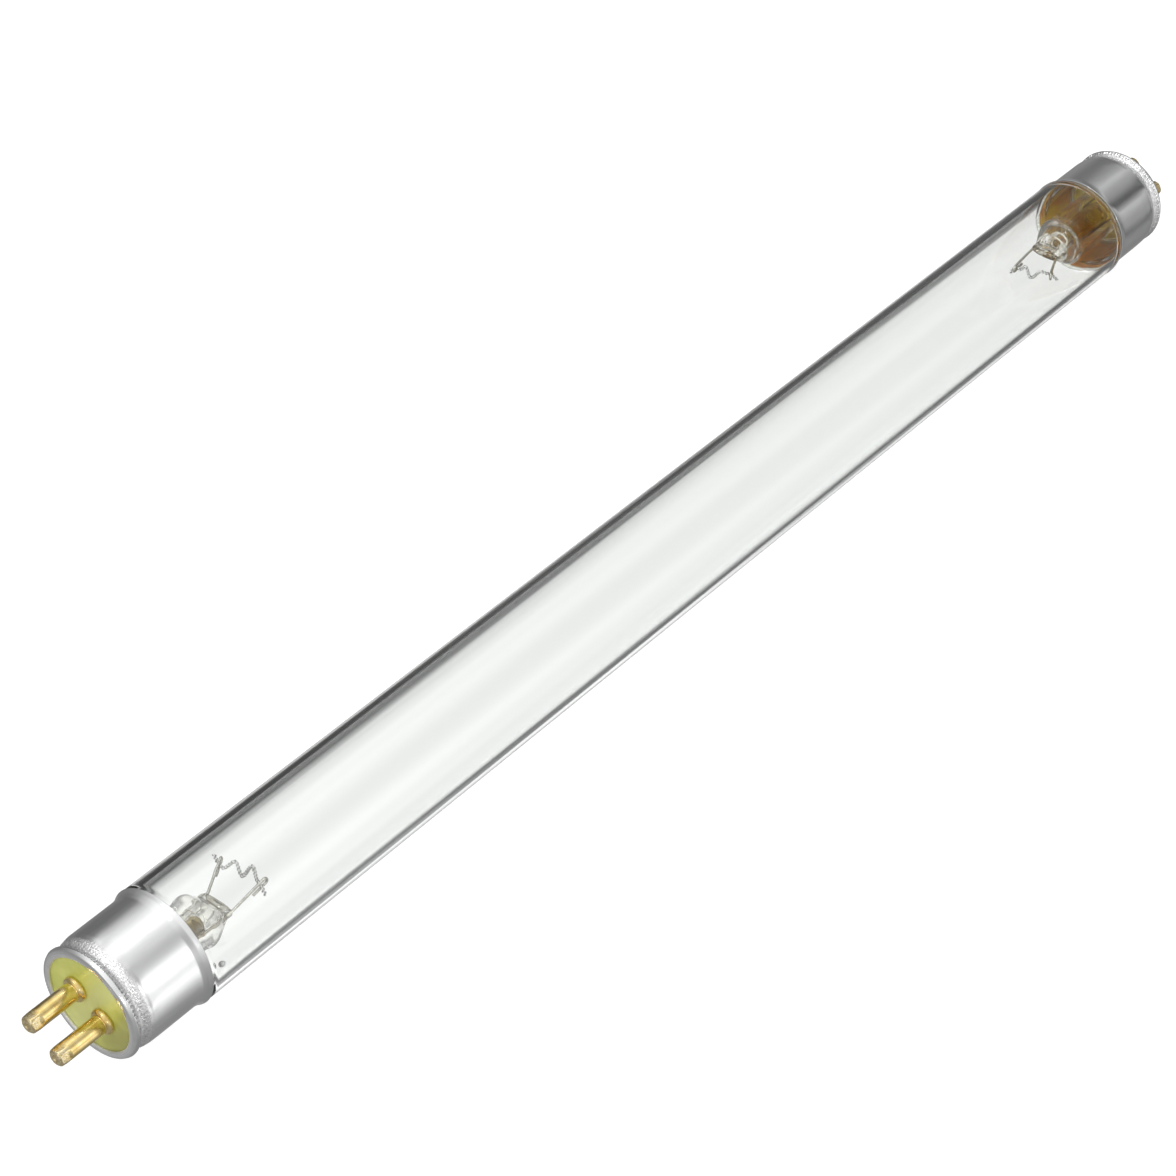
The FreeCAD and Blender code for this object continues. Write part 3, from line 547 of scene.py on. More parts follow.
def pressed_look(m):
    """The glass of the press, with painted shade: greyer in the dish of its end face, a dark line round that face's rim
    and another along the crease where the flat meets the pinch.
    """
    tree = m.node_tree
    s = next(n for n in tree.nodes if n.type == "BSDF_PRINCIPLED")
    clean = s.inputs["Base Color"].links[0].from_socket
    v = place_of(tree)
    away = along_lamp(tree)
    across = add(tree, "ShaderNodeVectorMath", {0: v, 1: tuple(SIDE / 2.19)}, operation="DOT_PRODUCT").outputs["Value"]
    over = add(tree, "ShaderNodeVectorMath", {0: v, 1: tuple(RISE / 0.69)}, operation="DOT_PRODUCT").outputs["Value"]
    flat = add(tree, "ShaderNodeCombineXYZ", {"X": across, "Y": over})
    size = math_node(tree, "MULTIPLY", add(tree, "ShaderNodeVectorMath", {0: flat.outputs["Vector"]}, operation="LENGTH").outputs["Value"], 1000.0)
    cloud = noise(tree, v, 1500.0, 3.0, 0.6)
    high = add(tree, "ShaderNodeMapRange", {"Value": away, "From Min": 0.0188, "From Max": 0.0194}).outputs["Result"]
    # painted shade in the dish of the end face
    dish = math_node(tree, "MULTIPLY", high, add(tree, "ShaderNodeMapRange", {"Value": size, "From Min": 0.99, "From Max": 0.93}).outputs["Result"])
    dish = math_node(tree, "MULTIPLY", dish, ramp(tree, cloud, [(0.35, 0.45), (0.62, 1.0)]))
    colour = mix_colour(tree, dish, clean, (0.48, 0.45, 0.39))
    # a painted dark line of shade round the rim of the end face
    painted_rim_shade = math_node(
        tree, "MULTIPLY", add(tree, "ShaderNodeMapRange", {"Value": away, "From Min": 0.02027, "From Max": 0.02036}).outputs["Result"],
        ramp(tree, cloud, [(0.32, 0.55), (0.55, 0.95)]),
    )
    colour = mix_colour(tree, painted_rim_shade, colour, (0.13, 0.12, 0.095))
    # a painted dark line of shade along the crease of the press
    painted_crease_shade = math_node(tree, "MULTIPLY", between(tree, away, 0.01915, 0.01930, 0.01944, 0.01960), between(tree, size, 1.0, 1.04, 9.0, 9.1))
    colour = mix_colour(tree, math_node(tree, "MULTIPLY", painted_crease_shade, 0.85), colour, (0.20, 0.19, 0.155))
    tree.links.new(colour, s.inputs["Base Color"])
    return m


def painted_cement_seen_through(m, reach, slant, low, high):
    """Brown painted into the glass towards the tip, standing in for the cement seen through it; its edge slanted and
    uneven.
    """
    tree = m.node_tree
    s = next(n for n in tree.nodes if n.type == "BSDF_PRINCIPLED")
    clean = s.inputs["Base Color"].links[0].from_socket
    v = place_of(tree)
    across = add(tree, "ShaderNodeVectorMath", {0: v, 1: tuple(SIDE)}, operation="DOT_PRODUCT").outputs["Value"]
    edge = math_node(tree, "ADD", along_lamp(tree), math_node(tree, "MULTIPLY", across, slant))
    edge = math_node(tree, "ADD", edge, math_node(tree, "MULTIPLY", noise(tree, v, 1100.0, 3.0, 0.6), 0.0016))
    amount = add(
        tree, "ShaderNodeMapRange", {"Value": edge, "From Min": reach, "From Max": reach - 0.0004}, interpolation_type="SMOOTHSTEP"
    ).outputs["Result"]
    tone = ramp(tree, noise(tree, v, 1700.0, 4.0, 0.6), [(0.35, low), (0.65, high)])
    tree.links.new(mix_colour(tree, amount, clean, tone), s.inputs["Base Color"])
    return m


STEMS = {"a": pressed_look(STEM), "b": pressed_look(STEM_PAINTED_WARM_LIGHT)}
EXHAUSTS = {
    "a": painted_cement_seen_through(glass("exhaust_glass_near", (0.985, 0.983, 0.965), (0.74, 0.73, 0.69), 0.2, (500, 900, 900)), 0.01640, 1.0, (0.07, 0.045, 0.010), (0.24, 0.17, 0.05)),
    # the far exhaust glass has the warmer tint of the far stem: painted warm light from the cement round it
    "b": painted_cement_seen_through(glass("exhaust_glass_far", (0.985, 0.978, 0.945), (0.90, 0.86, 0.76), 0.2, (500, 900, 900)), 0.01400, 0.5, (0.76, 0.66, 0.38), (0.90, 0.82, 0.56)),
}


def paint(node, mat):
    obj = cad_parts[node]
    obj.data.materials.clear()
    obj.data.materials.append(mat)
    obj.data.polygons.foreach_set("use_smooth", [True] * len(obj.data.polygons))


# ---------------------------------------------------------- the glass tube
def quarter(centre, r, start, stop, steps):
    """Arc points, both ends in, by angle in degrees in the (inwards, radius) plane."""
    return [
        (
            centre[0] + r * math.cos(math.radians(start + (stop - start) * i / steps)),
            centre[1] + r * math.sin(math.radians(start + (stop - start) * i / steps)),
        )
        for i in range(steps + 1)
    ]


def shoulder(r_from, r_to, x_from, x_to, steps=12):
    """An S of two equal arcs from one radius to another, level at both ends."""
    dx, dr = x_to - x_from, r_to - r_from
    big = (dx * dx + dr * dr) / (4 * dr)
    out = []
    for i in range(steps + 1):
        x = dx * i / steps
        if x <= dx / 2:
            r = r_from + big - math.sqrt(big * big - x * x)
        else:
            r = r_to - big + math.sqrt(big * big - (dx - x) ** 2)
        out.append((x_from + x, r))
    return out


def build_tube():
    length = 2 * HALF
    outer = quarter((5.4, 5.33), 1.6, 180, 90, 10) + [(7.8, 6.93)] + shoulder(6.93, 7.83, 10.2, 12.6)
    inner = quarter((5.4, 5.33), 0.7, 180, 90, 8) + [(7.8, 6.03)] + shoulder(6.03, 6.93, 10.2, 12.6)
    run = [12.6 + (length - 25.2) * i / 40 for i in range(1, 40)]
    outer_all = outer + [(x, 7.83) for x in run] + [(length - x, r) for x, r in reversed(outer)]
    inner_all = inner + [(x, 6.93) for x in run] + [(length - x, r) for x, r in reversed(inner)]
    count = 400
    waves = [(2, 0.006), (3, 0.007), (5, 0.006), (9, 0.004), (14, 0.0022), (23, 0.0011), (37, 0.0006), (53, 0.0003)]
    phase = RNG.uniform(0, 2 * math.pi, len(waves))

    def drawn(xl, r, theta):
        """The bore isn't perfectly round, as in any drawn tube."""
        if r > 6.93 + 1e-6 or not 12.6 < xl < length - 12.6:
            return 0.0, 0.0
        d = sum(a * np.sin(k * theta + p + 0.0016 * k * xl) for (k, a), p in zip(waves, phase))
        edge = min(1.0, (xl - 12.6) / 4.0, (length - 12.6 - xl) / 4.0)
        return 0.0, d * edge

    rings = lathe("a", outer_all, count) + lathe("a", list(reversed(inner_all)), count, shift=drawn)
    verts, faces = rings_mesh(rings, True)
    return make_object(
        "envelope_glass", verts, faces, CLEAR, 60, ["envelope_tube"]
    )


# --------------------------------------------------- stems and what they hold
def pressed(end, x, half_s, half_u, power, count, wave=None):
    """A ring across the press: a pillow shape between a circle and a flat."""
    t = np.arange(count) * 2 * math.pi / count
    c, s = np.cos(t), np.sin(t)
    a = half_s * np.sign(c) * np.abs(c) ** (2 / power)
    b = half_u * np.sign(s) * np.abs(s) ** (2 / power)
    if wave is not None:
        k = 1 + wave(t)
        a, b = a * k, b * k
    flip = 1
    return (
        np.array([axial(end, x), 0, 0])[None, :]
        + a[:, None] * SIDE[None, :]
        + flip * b[:, None] * RISE[None, :]
    )


def ease(t):
    t = min(1.0, max(0.0, t))
    return t * t * (3 - 2 * t)


def build_stem(end):
    """Flare, round neck and a short press. The walls stay even where the neck is pinched."""
    count = 160
    phase = RNG.uniform(0, 2 * math.pi, 6)

    def lumpy(x, size):
        def wave(t):
            return size * (
                np.sin(2 * t + phase[0] + 1.1 * x)
                + 0.6 * np.sin(3 * t + phase[1] - 0.8 * x)
                + 0.4 * np.sin(5 * t + phase[2] + 1.7 * x)
            )

        return wave

    # the outside of the pinch, from the flat (t = 0) to the round neck (t = 1)
    top, bottom, wall = 19.36, 16.05, 0.62
    ts = np.linspace(0, 1, 23)
    grow = np.array([0.72 * math.sin(t * math.pi / 2) + 0.28 * ease(t) for t in ts])
    px = top - (top - bottom) * ts
    ps, pu = 2.45 + 1.05 * grow, 0.87 + 2.63 * grow
    power = 2.0 + 0.35 * (1 - ts) + 0.9 * np.sin(math.pi * ts) * (1 - ts) ** 0.4

    def offset(h):
        """The same line, one wall further in."""
        dx, dh = np.gradient(px), np.gradient(h)
        size = np.hypot(dx, dh)
        return px + wall * dh / size, h - wall * -dx / size

    def inside(h, x):
        ox, oh = offset(h)
        order = np.argsort(ox)
        return float(np.interp(x, ox[order], oh[order]))

    rings = []
    # bore side, from the seal towards the pinch
    for i in range(15):
        t = i / 14 * math.pi / 2
        x, r = 6.55 - (6.55 - 3.82) * math.cos(t), 5.31 - (5.31 - 2.75) * math.sin(t)
        rings.append(pressed(end, x, r, r, 2.0, count, lumpy(x, 0.006)))
    for x in (8.0, 9.5, 11.0, 12.5, 14.0, 14.8):
        rings.append(pressed(end, x, 2.75, 2.75, 2.0, count, lumpy(x, 0.006)))
    close = next(x for x in np.arange(16.0, 19.0, 0.02) if inside(pu, x) < 1.90)
    for x in np.linspace(15.4, close, 12):
        hs, hu = min(2.80, inside(ps, x)), min(2.80, inside(pu, x))
        p = float(np.interp(x, px[::-1], power[::-1]))
        rings.append(pressed(end, x, hs, hu, p, count, lumpy(x, 0.006)))
    # round the fused end of the pocket and back along the sleeve to the exhaust tube
    rings.append(pressed(end, close + 0.07, inside(ps, close) - 0.22, 1.86, 2.1, count))
    rings.append(pressed(end, close + 0.06, 1.95, 1.82, 2.0, count))
    for x in np.linspace(close - 0.02, 16.46, 6):
        rings.append(pressed(end, x, 1.78, 1.78, 2.0, count))
    for x, r in ((16.40, 1.74), (16.40, 1.40), (16.40, 1.10), (16.45, 1.05), (17.2, 1.05)):
        rings.append(pressed(end, x, r, r, 2.0, count))
    # the vent through the press, opening into a deep dish in its end face
    for x, a, b in (
        (17.9, 1.02, 0.92), (18.4, 0.96, 0.66), (18.8, 0.90, 0.42), (19.1, 0.86, 0.30), (19.35, 0.92, 0.27), (19.6, 1.10, 0.31),
        (19.85, 1.36, 0.37), (20.06, 1.62, 0.44), (20.22, 1.84, 0.51), (20.33, 1.99, 0.575), (20.385, 2.09, 0.63), (20.40, 2.16, 0.67),
        (20.385, 2.23, 0.715), (20.33, 2.31, 0.76), (20.22, 2.39, 0.805), (20.05, 2.44, 0.84), (19.85, 2.45, 0.85), (19.65, 2.45, 0.85),
        (19.46, 2.45, 0.85),
    ):
        rings.append(pressed(end, x, a, b, 2.35, count, lumpy(x, 0.010)))
    for x, hs, hu, p in zip(px, ps, pu, power):
        rings.append(pressed(end, x, hs, hu, p, count, lumpy(x, 0.012)))
    for x in (15.6, 15.0, 14.0, 12.5, 11.0, 9.5, 8.2, 7.2):
        rings.append(pressed(end, x, 3.5, 3.5, 2.0, count, lumpy(x, 0.008)))
    for i in range(15):
        t = math.pi / 2 - i / 14 * math.pi / 2
        r = 5.31 - (5.31 - 3.5) * math.sin(t)
        rings.append(pressed(end, 6.55 - (6.55 - 4.69) * math.cos(t), r, r, 2.0, count))
    verts, faces = rings_mesh(rings, True)
    return make_object(f"stem_glass_{end}", verts, faces, STEMS[end], 42, [f"stem_{end}"])


def build_exhaust(end):
    taper = [
        (7.6, 1.75), (7.1, 1.71), (6.6, 1.60), (6.1, 1.43), (5.6, 1.21), (5.15, 0.95), (4.8, 0.71), (4.55, 0.50),
        (4.44, 0.32), (4.4, 0.14), (4.4, 0.0),
    ]
    bore = [(6.4, 0.0), (6.44, 0.16), (6.62, 0.42), (6.9, 0.66), (7.3, 0.88), (7.7, 1.0), (8.2, 1.05)]
    wall = [(16.36, 1.07), (16.36, 1.73), (16.3, 1.75)] + [(x, 1.75) for x in (14.0, 12.0, 10.0, 8.6)]
    # the wall is one closed skin: outside from the open end to the tip, then the bore back
    rings = lathe(end, bore + [(x, 1.05) for x in (10.0, 12.0, 14.0, 16.2)] + wall + taper, 72)
    verts, faces = rings_mesh(rings, False)
    return make_object(
        f"exhaust_glass_{end}", verts, faces, EXHAUSTS[end], 50, [f"exhaust_tube_{end}"]
    )


FILAMENT = {
    "a": [
        (25.40, 5.70, 0.85), (25.10, 4.53, 0.00), (25.08, 3.70, -0.10), (25.96, 2.60, 0.90), (25.50, 1.20, -0.15),
        (26.10, -0.10, 1.70), (25.44, -1.35, 0.90), (25.10, -2.27, 0.80), (24.90, -3.17, -0.10),
    ],
    "b": [
        (25.35, 2.55, -1.75), (25.00, 1.74, -0.63), (25.30, 1.00, -0.67), (25.60, -0.04, 0.46), (25.60, -1.03, -1.00),
        (25.60, -2.60, 0.77), (25.30, -3.30, 0.60), (25.00, -3.92, 0.53), (24.95, -4.95, 0.10),
    ],
}


def build_filament(end):
    """The coil: a fine wire wound in open turns round its own coated core."""
    line = spline([in_lamp(end, *p) for p in FILAMENT[end]], 24)
    fine, length = evenly(line, 0.018)
    p, t, n, b = frames_along(fine)
    s = np.linspace(0, length, len(p))
    pitch = 0.42 + 0.03 * np.sin(s * 1.7)
    turn = np.cumsum(np.gradient(s) / pitch) * 2 * math.pi
    radius = 0.165 + 0.008 * np.sin(s * 2.3)
    helix = p + radius[:, None] * (np.cos(turn)[:, None] * n + np.sin(turn)[:, None] * b)
    rings = tube_rings(helix, 0.082, 7)
    verts, faces = rings_mesh(rings, False)
    wire = make_object(f"filament_wire_{end}", verts, faces, TUNGSTEN, 80, [f"filament_{end}"])
    core, length = evenly(line, 0.05)
    k = np.linspace(0, length, len(core))
    mid = np.clip(np.minimum(k, length - k) / 2.4, 0, 1)
    r = 0.085 + 0.090 * mid + 0.014 * np.sin(k * 5.1) * mid + 0.010 * np.sin(k * 13.7) * mid
    verts, faces = rings_mesh(tube_rings(core, r, 12), False)
    make_object(f"filament_coat_{end}", verts, faces, POWDER, 80, [f"filament_{end}"])
    return wire


# -------------------------------------------------------------------- caps
TEETH = 92


def build_cap(end):
    profile = rounded(
        [
            (0.33, 6.30, 0.03),
            (0.12, 6.31, 0.06),
            (0.0, 6.48, 0.10),
            (0.0, 6.85, 0.30),
            (0.14, 7.24, 0.40),
            (0.58, 7.45, 0.30),
            (0.84, 7.41, 0.12),
            (0.98, 7.24, 0.06),
            (1.40, 6.99, 0.16),
            (1.70, 6.98, 0.20),
            (2.15, 7.25, 0.5),
            (2.60, 7.38, 1.2),
            (3.30, 7.45, 2.5),
            (4.60, 7.47, 2.5),
            (10.40, 7.47, 2.0),
            (11.20, 7.655, 1.3),
            (11.75, 7.95, 0.05),
            (11.79, 7.70, 0.05),
            (11.15, 7.40, 0.5),
            (10.36, 7.17, 0.5),
            (2.80, 7.17, 0.2),
            (1.66, 6.66, 0.1),
            (1.36, 6.66, 0.1),
            (0.80, 7.12, 0.1),
            (0.33, 7.14, 0.02),
            (0.33, 6.60, 0.0),
        ],
        closed=True,
        steps=4,
    )
    profile = stations(profile + [profile[0]], 0.7)[:-1]
    # short steps over the crimp, so that its marks have a shape
    dense = []
    for a, b in zip(profile, profile[1:] + profile[:1]):
        dense.append(a)
        crimp = a[1] > 6.9 and b[1] > 6.9 and 0.60 <= min(a[0], b[0]) and max(a[0], b[0]) <= 2.7
        near = a[1] > 7.2 and b[1] > 7.2 and 2.6 <= min(a[0], b[0]) and max(a[0], b[0]) <= 6.0
        n = max(1, math.ceil(math.dist(a, b) / 0.10)) if crimp else max(1, math.ceil(math.dist(a, b) / 0.3)) if near else 1
        for k in range(1, n):
            dense.append((a[0] + (b[0] - a[0]) * k / n, a[1] + (b[1] - a[1]) * k / n))
    per = 6
    count = TEETH * per
    depth = RNG.uniform(0.25, 1.0, TEETH)
    wobble = RNG.uniform(-0.20, 0.20, TEETH)
    drift = RNG.uniform(-0.10, 0.10, TEETH)
    dent = RNG.uniform(0, 2 * math.pi, 12)
    grain = RNG.normal(0, 1, (64, count))

    def knurl(xl, r, theta):
        outside = 1.0 if r > 6.8 else 0.0
        d = 0.007 * np.sin(2 * theta + dent[0]) + 0.005 * np.sin(5 * theta + dent[1])
        d = d * outside * (0.4 if xl < 2.0 or xl > 10.5 else 1.0)
        if r > 7.2 and 2.2 < xl < 6.0:
            # the crimping has pulled the metal behind it a little out of round
            pull = math.exp(-(((xl - 2.9) / 0.9) ** 2))
            ripple = sum(a * np.sin(k * theta + dent[2 + j] + 0.8 * xl) for j, (k, a) in enumerate(((7, 0.6), (11, 1.0), (17, 0.9), (26, 0.6))))
            d = d + 0.012 * pull * ripple
        if r < 6.90 or not 0.62 < xl < 2.75:
            return 0.0, d
        a = theta * TEETH / (2 * math.pi)
        i = np.floor(a).astype(int) % TEETH
        w = (a - np.floor(a)) + wobble[i]
        notch = np.clip(1 - np.abs(w - 0.5) / 0.34, 0, 1) ** 0.8
        front = np.exp(-(((xl - 1.06 - drift[i]) / 0.28) ** 2))
        back = np.exp(-(((xl - 2.05 - drift[i]) / 0.30) ** 2))
        rough = 0.022 * grain[int(xl / 0.05) % 64] * math.exp(-(((xl - 1.6) / 0.75) ** 4))
        bead = 0.13 * depth[i] * notch * math.exp(-(((xl - 0.92) / 0.14) ** 2)) if r > 7.0 else 0.0
        crest = 0.04 * depth[i] * notch * math.exp(-(((xl - 0.84) / 0.12) ** 2)) if r > 7.3 else 0.0
        return -bead, d - depth[i] * notch * (0.085 * front + 0.045 * back) - crest + rough - 0.01

    verts, faces = rings_mesh(lathe(end, dense, count, shift=knurl), True)
    return make_object(f"cap_metal_{end}", verts, faces, CAP, 60, [f"cap_shell_{end}"])


def build_cement(end):
    """Cement between glass and cap, its edge under the lip a little uneven."""
    profile = [
        (4.24, 6.955), (4.22, 7.02), (4.22, 7.15), (6.0, 7.155), (8.0, 7.155), (10.3, 7.155), (11.06, 7.365),
        (11.08, 7.30), (11.08, 7.215), (10.9, 7.115), (10.6, 7.02), (10.2, 6.965), (9.0, 6.955), (8.0, 6.955), (7.0, 6.955), (5.6, 6.955),
    ]
    phase = RNG.uniform(0, 2 * math.pi, 4)

    def uneven(xl, r, theta):
        if xl > 10.8 and r < 7.35:
            return -0.05 + 0.03 * np.sin(7 * theta + phase[0]) + 0.02 * np.sin(19 * theta + phase[1]), 0.0
        if xl < 4.3:
            return 0.15 + 0.10 * np.sin(5 * theta + phase[2]) + 0.05 * np.sin(13 * theta + phase[3]), 0.0
        return 0.0, 0.0

    verts, faces = rings_mesh(lathe(end, profile, 160, shift=uneven), True)
    return make_object(f"cement_{end}", verts, faces, CEMENT, 40, [f"basing_cement_{end}"])


def build_pin(end, k):
    side = 1 if k == 1 else -1
    profile = rounded(
        [
            (-7.01, 0.0),
            (-7.00, 0.14, 0.03),
            (-6.95, 0.24, 0.03),
            (-6.97, 0.36, 0.04),
            (-7.10, 0.52, 0.05),
            (-7.10, 0.84, 0.14),
            (-6.88, 1.12, 0.14),
            (-6.2, 1.18),
            (-5.6, 1.18),
            (-4.0, 1.18),
            (-2.2, 1.18),
            (-0.42, 1.18, 0.10),
            (-0.40, 1.36, 0.16),
            (-0.22, 1.56, 0.20),
            (0.04, 1.665, 0.16),
            (0.26, 1.64, 0.08),
            (0.33, 1.54, 0.02),
            (0.345, 1.175, 0.0),
            (1.95, 1.175, 0.0),
            (1.955, 1.60, 0.03),
            (2.15, 1.62, 0.15),
            (2.40, 1.10, 0.08),
            (2.40, 0.62, 0.0),
            (-5.9, 0.62, 0.0),
            (-6.3, 0.19, 0.0),
            (-6.3, 0.0),
        ],
        steps=5,
    )
    profile = stations(profile, 0.16)
    phase = RNG.uniform(0, math.pi / 2)
    flats = [(phase + i * math.pi / 2 + RNG.uniform(-0.12, 0.12), RNG.uniform(0.0, 0.05)) for i in range(4)]
    ding = [(RNG.uniform(-4.4, -1.2), RNG.uniform(0, 2 * math.pi), RNG.uniform(0.004, 0.009)) for _ in range(5)]

    def crimp(xl, r, theta):
        """Four pinches hold the wire in the end; a few light knocks along the pin."""
        d = np.zeros_like(theta)
        if r > 0.8 and -7.2 < xl < -0.5:
            if xl < -5.45:
                t = min(1.0, (-5.45 - xl) / 0.5)
                t = t * t * (3 - 2 * t)
                for centre, extra in flats:
                    away = np.abs((theta - centre + math.pi) % (2 * math.pi) - math.pi)
                    flat = (1.045 - extra) / np.maximum(np.cos(0.86 * away), 0.35)
                    limit = np.where(away < 0.74, np.minimum(r, flat), r)
                    d = np.minimum(d, (limit - r) * t)
            for x0, a0, size in ding:
                away = np.abs((theta - a0 + math.pi) % (2 * math.pi) - math.pi)
                d = d - size * np.exp(-((away / 0.45) ** 2) - ((xl - x0) / 0.9) ** 2)
        return 0.0, d

    y = side * 2.375
    verts, faces = rings_mesh(lathe(end, profile, 80, y=y, shift=crimp), False)
    return make_object(
        f"brass_pin_{end}{k}", verts, faces, BRASS, 40, [f"contact_pin_{end}{k}"]
    )


build_tube()
for end in ("a", "b"):
    build_stem(end)
    build_exhaust(end)
    build_filament(end)
    build_cap(end)
    build_cement(end)
    for k in (1, 2):
        build_pin(end, k)
        paint(f"seal_wire_{end}{k}", SEAL)
        paint(f"support_wire_{end}{k}", NICKEL)
        paint(f"outer_lead_{end}{k}", COPPER)
    paint(f"insulator_disc_{end}", BOARD)
paint("mercury_drop", MERCURY)
for node in ("insulator_disc_a", "insulator_disc_b"):
    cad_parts[node].data.set_sharp_from_angle(angle=math.radians(40))


# ------------------------------------------------------------------- stage
def build_floor():
    size = 30.0
    mesh = bpy.data.meshes.new("floor")
    z = -7.97 * MM
    mesh.from_pydata([(-size, -size, z), (size, -size, z), (size, size, z), (-size, size, z)], [], [(0, 1, 2, 3)])
    obj = bpy.data.objects.new("floor", mesh)
    bpy.context.scene.collection.objects.link(obj)
    m = bpy.data.materials.new("pale_floor")
    m.use_nodes = True
    tree = m.node_tree
    tree.nodes.clear()
    out = tree.nodes.new("ShaderNodeOutputMaterial")
    s = tree.nodes.new("ShaderNodeBsdfPrincipled")
    s.inputs["Base Color"].default_value = (0.36, 0.36, 0.36, 1)
    s.inputs["Roughness"].default_value = 1.0
    s.inputs["Specular IOR Level"].default_value = 0.0
    s.inputs["Emission Color"].default_value = (1, 1, 1, 1)
    s.inputs["Emission Strength"].default_value = 0.80
    # open from below, so that the underside can be looked at
    back = add(tree, "ShaderNodeNewGeometry").outputs["Backfacing"]
    clear = tree.nodes.new("ShaderNodeBsdfTransparent")
    mix = tree.nodes.new("ShaderNodeMixShader")
    tree.links.new(back, mix.inputs["Fac"])
    tree.links.new(s.outputs["BSDF"], mix.inputs[1])
    tree.links.new(clear.outputs["BSDF"], mix.inputs[2])
    tree.links.new(mix.outputs["Shader"], out.inputs["Surface"])
    mesh.materials.append(m)
    obj.visible_glossy = False
    obj.visible_transmission = False
    return obj


build_floor()

# Studio: long soft boxes above, level round the lamp's axis. Each row is an
# angle about that axis in degrees and the light from there for directions
# square to the lamp (mid), halfway (near) and mostly along it (far).
BANDS = [
    (-180, 0.34, 0.95, 0.18), (-175, 0.31, 0.75, 0.145), (-164, 0.28, 0.50, 0.247), (-150, 0.25, 0.315, 0.26),
    (-133, 0.25, 0.264, 0.227), (-110, 0.26, 0.25, 0.24), (-104, 0.30, 0.34, 0.34), (-75, 0.28, 0.34, 0.34),
    (-66, 0.25, 0.22, 0.26), (-35, 0.20, 0.155, 0.25), (-19, 0.25, 0.155, 0.20), (-5, 0.35, 0.22, 0.175),
    (7, 0.55, 0.54, 0.17), (18, 0.75, 0.80, 0.21), (28, 0.95, 0.99, 0.26), (37, 1.1, 1.2, 0.31), (46, 1.2, 1.40, 0.38),
    (55, 1.2, 1.40, 0.54), (63, 1.05, 1.06, 0.48), (71, 0.92, 0.88, 0.38), (80, 0.85, 0.77, 0.33), (88, 0.70, 0.64, 0.28),
    (96, 0.55, 0.56, 0.20), (104, 0.46, 0.63, 0.105), (112, 0.45, 0.83, 0.085), (120, 0.50, 1.25, 0.25), (130, 0.62, 1.6, 0.53),
    (138, 0.68, 1.55, 0.42), (147, 0.58, 1.05, 0.37), (155, 0.46, 0.98, 0.335), (166, 0.38, 1.32, 0.30), (180, 0.34, 0.95, 0.18),
]
# the side the pins of end a face
FRONT = [
    (-180, 0.36), (-150, 0.33), (-120, 0.32), (-84, 0.40), (-50, 0.30), (-20, 0.26), (5, 0.40), (30, 0.88), (60, 1.08),
    (90, 0.88), (110, 0.78), (130, 0.95), (150, 0.62), (165, 0.42), (180, 0.36),
]
# the lit panel under the lamp as seen through the glass, near and far
PANEL_NEAR = [
    (-180, 0.28), (-165, 0.24), (-140, 0.22), (-119, 0.20), (-114.5, 0.40), (-112, 1.8), (-104, 1.55), (-96, 1.04),
    (-90, 0.93), (-84, 0.91), (-79, 0.93), (-75.5, 0.86), (-73, 0.60), (-71, 0.38), (-68, 0.07), (-60, 0.03), (-35, 0.05),
    (0, 0.18), (180, 0.28),
]
PANEL_FAR = [
    (-180, 0.28), (-165, 0.20), (-140, 0.14), (-118, 0.10), (-112, 0.25), (-109, 0.95), (-105, 1.6), (-98, 1.22),
    (-92, 1.05), (-88, 0.98), (-84, 0.97), (-79, 0.99), (-74, 1.0), (-69.5, 1.1), (-67, 0.5), (-64.5, 0.12), (-56, 0.04), (-35, 0.05),
    (0, 0.18), (180, 0.28),
]
# small hard lights: direction, angular radius in degrees, strength
SPOTS = [((-0.42, 0.60, 0.68), 4.5, 14.0), ((-0.55, -0.50, 0.67), 3.5, 12.0), ((0.05, 0.50, 0.86), 3.0, 9.0)]


def banded(tree, level, stops):
    """Light by angle about the lamp's axis. Ramps hold 0 to 1, so it is halved and doubled."""
    shade = ramp(tree, level, [((a + 180) / 360, v * 0.5) for a, v in stops])
    return mix_colour(tree, 1.0, shade, (2.0, 2.0, 2.0), "MULTIPLY")


def step(tree, value, a, b):
    return add(
        tree, "ShaderNodeMapRange", {"Value": value, "From Min": a, "From Max": b}, interpolation_type="SMOOTHSTEP"
    ).outputs["Result"]


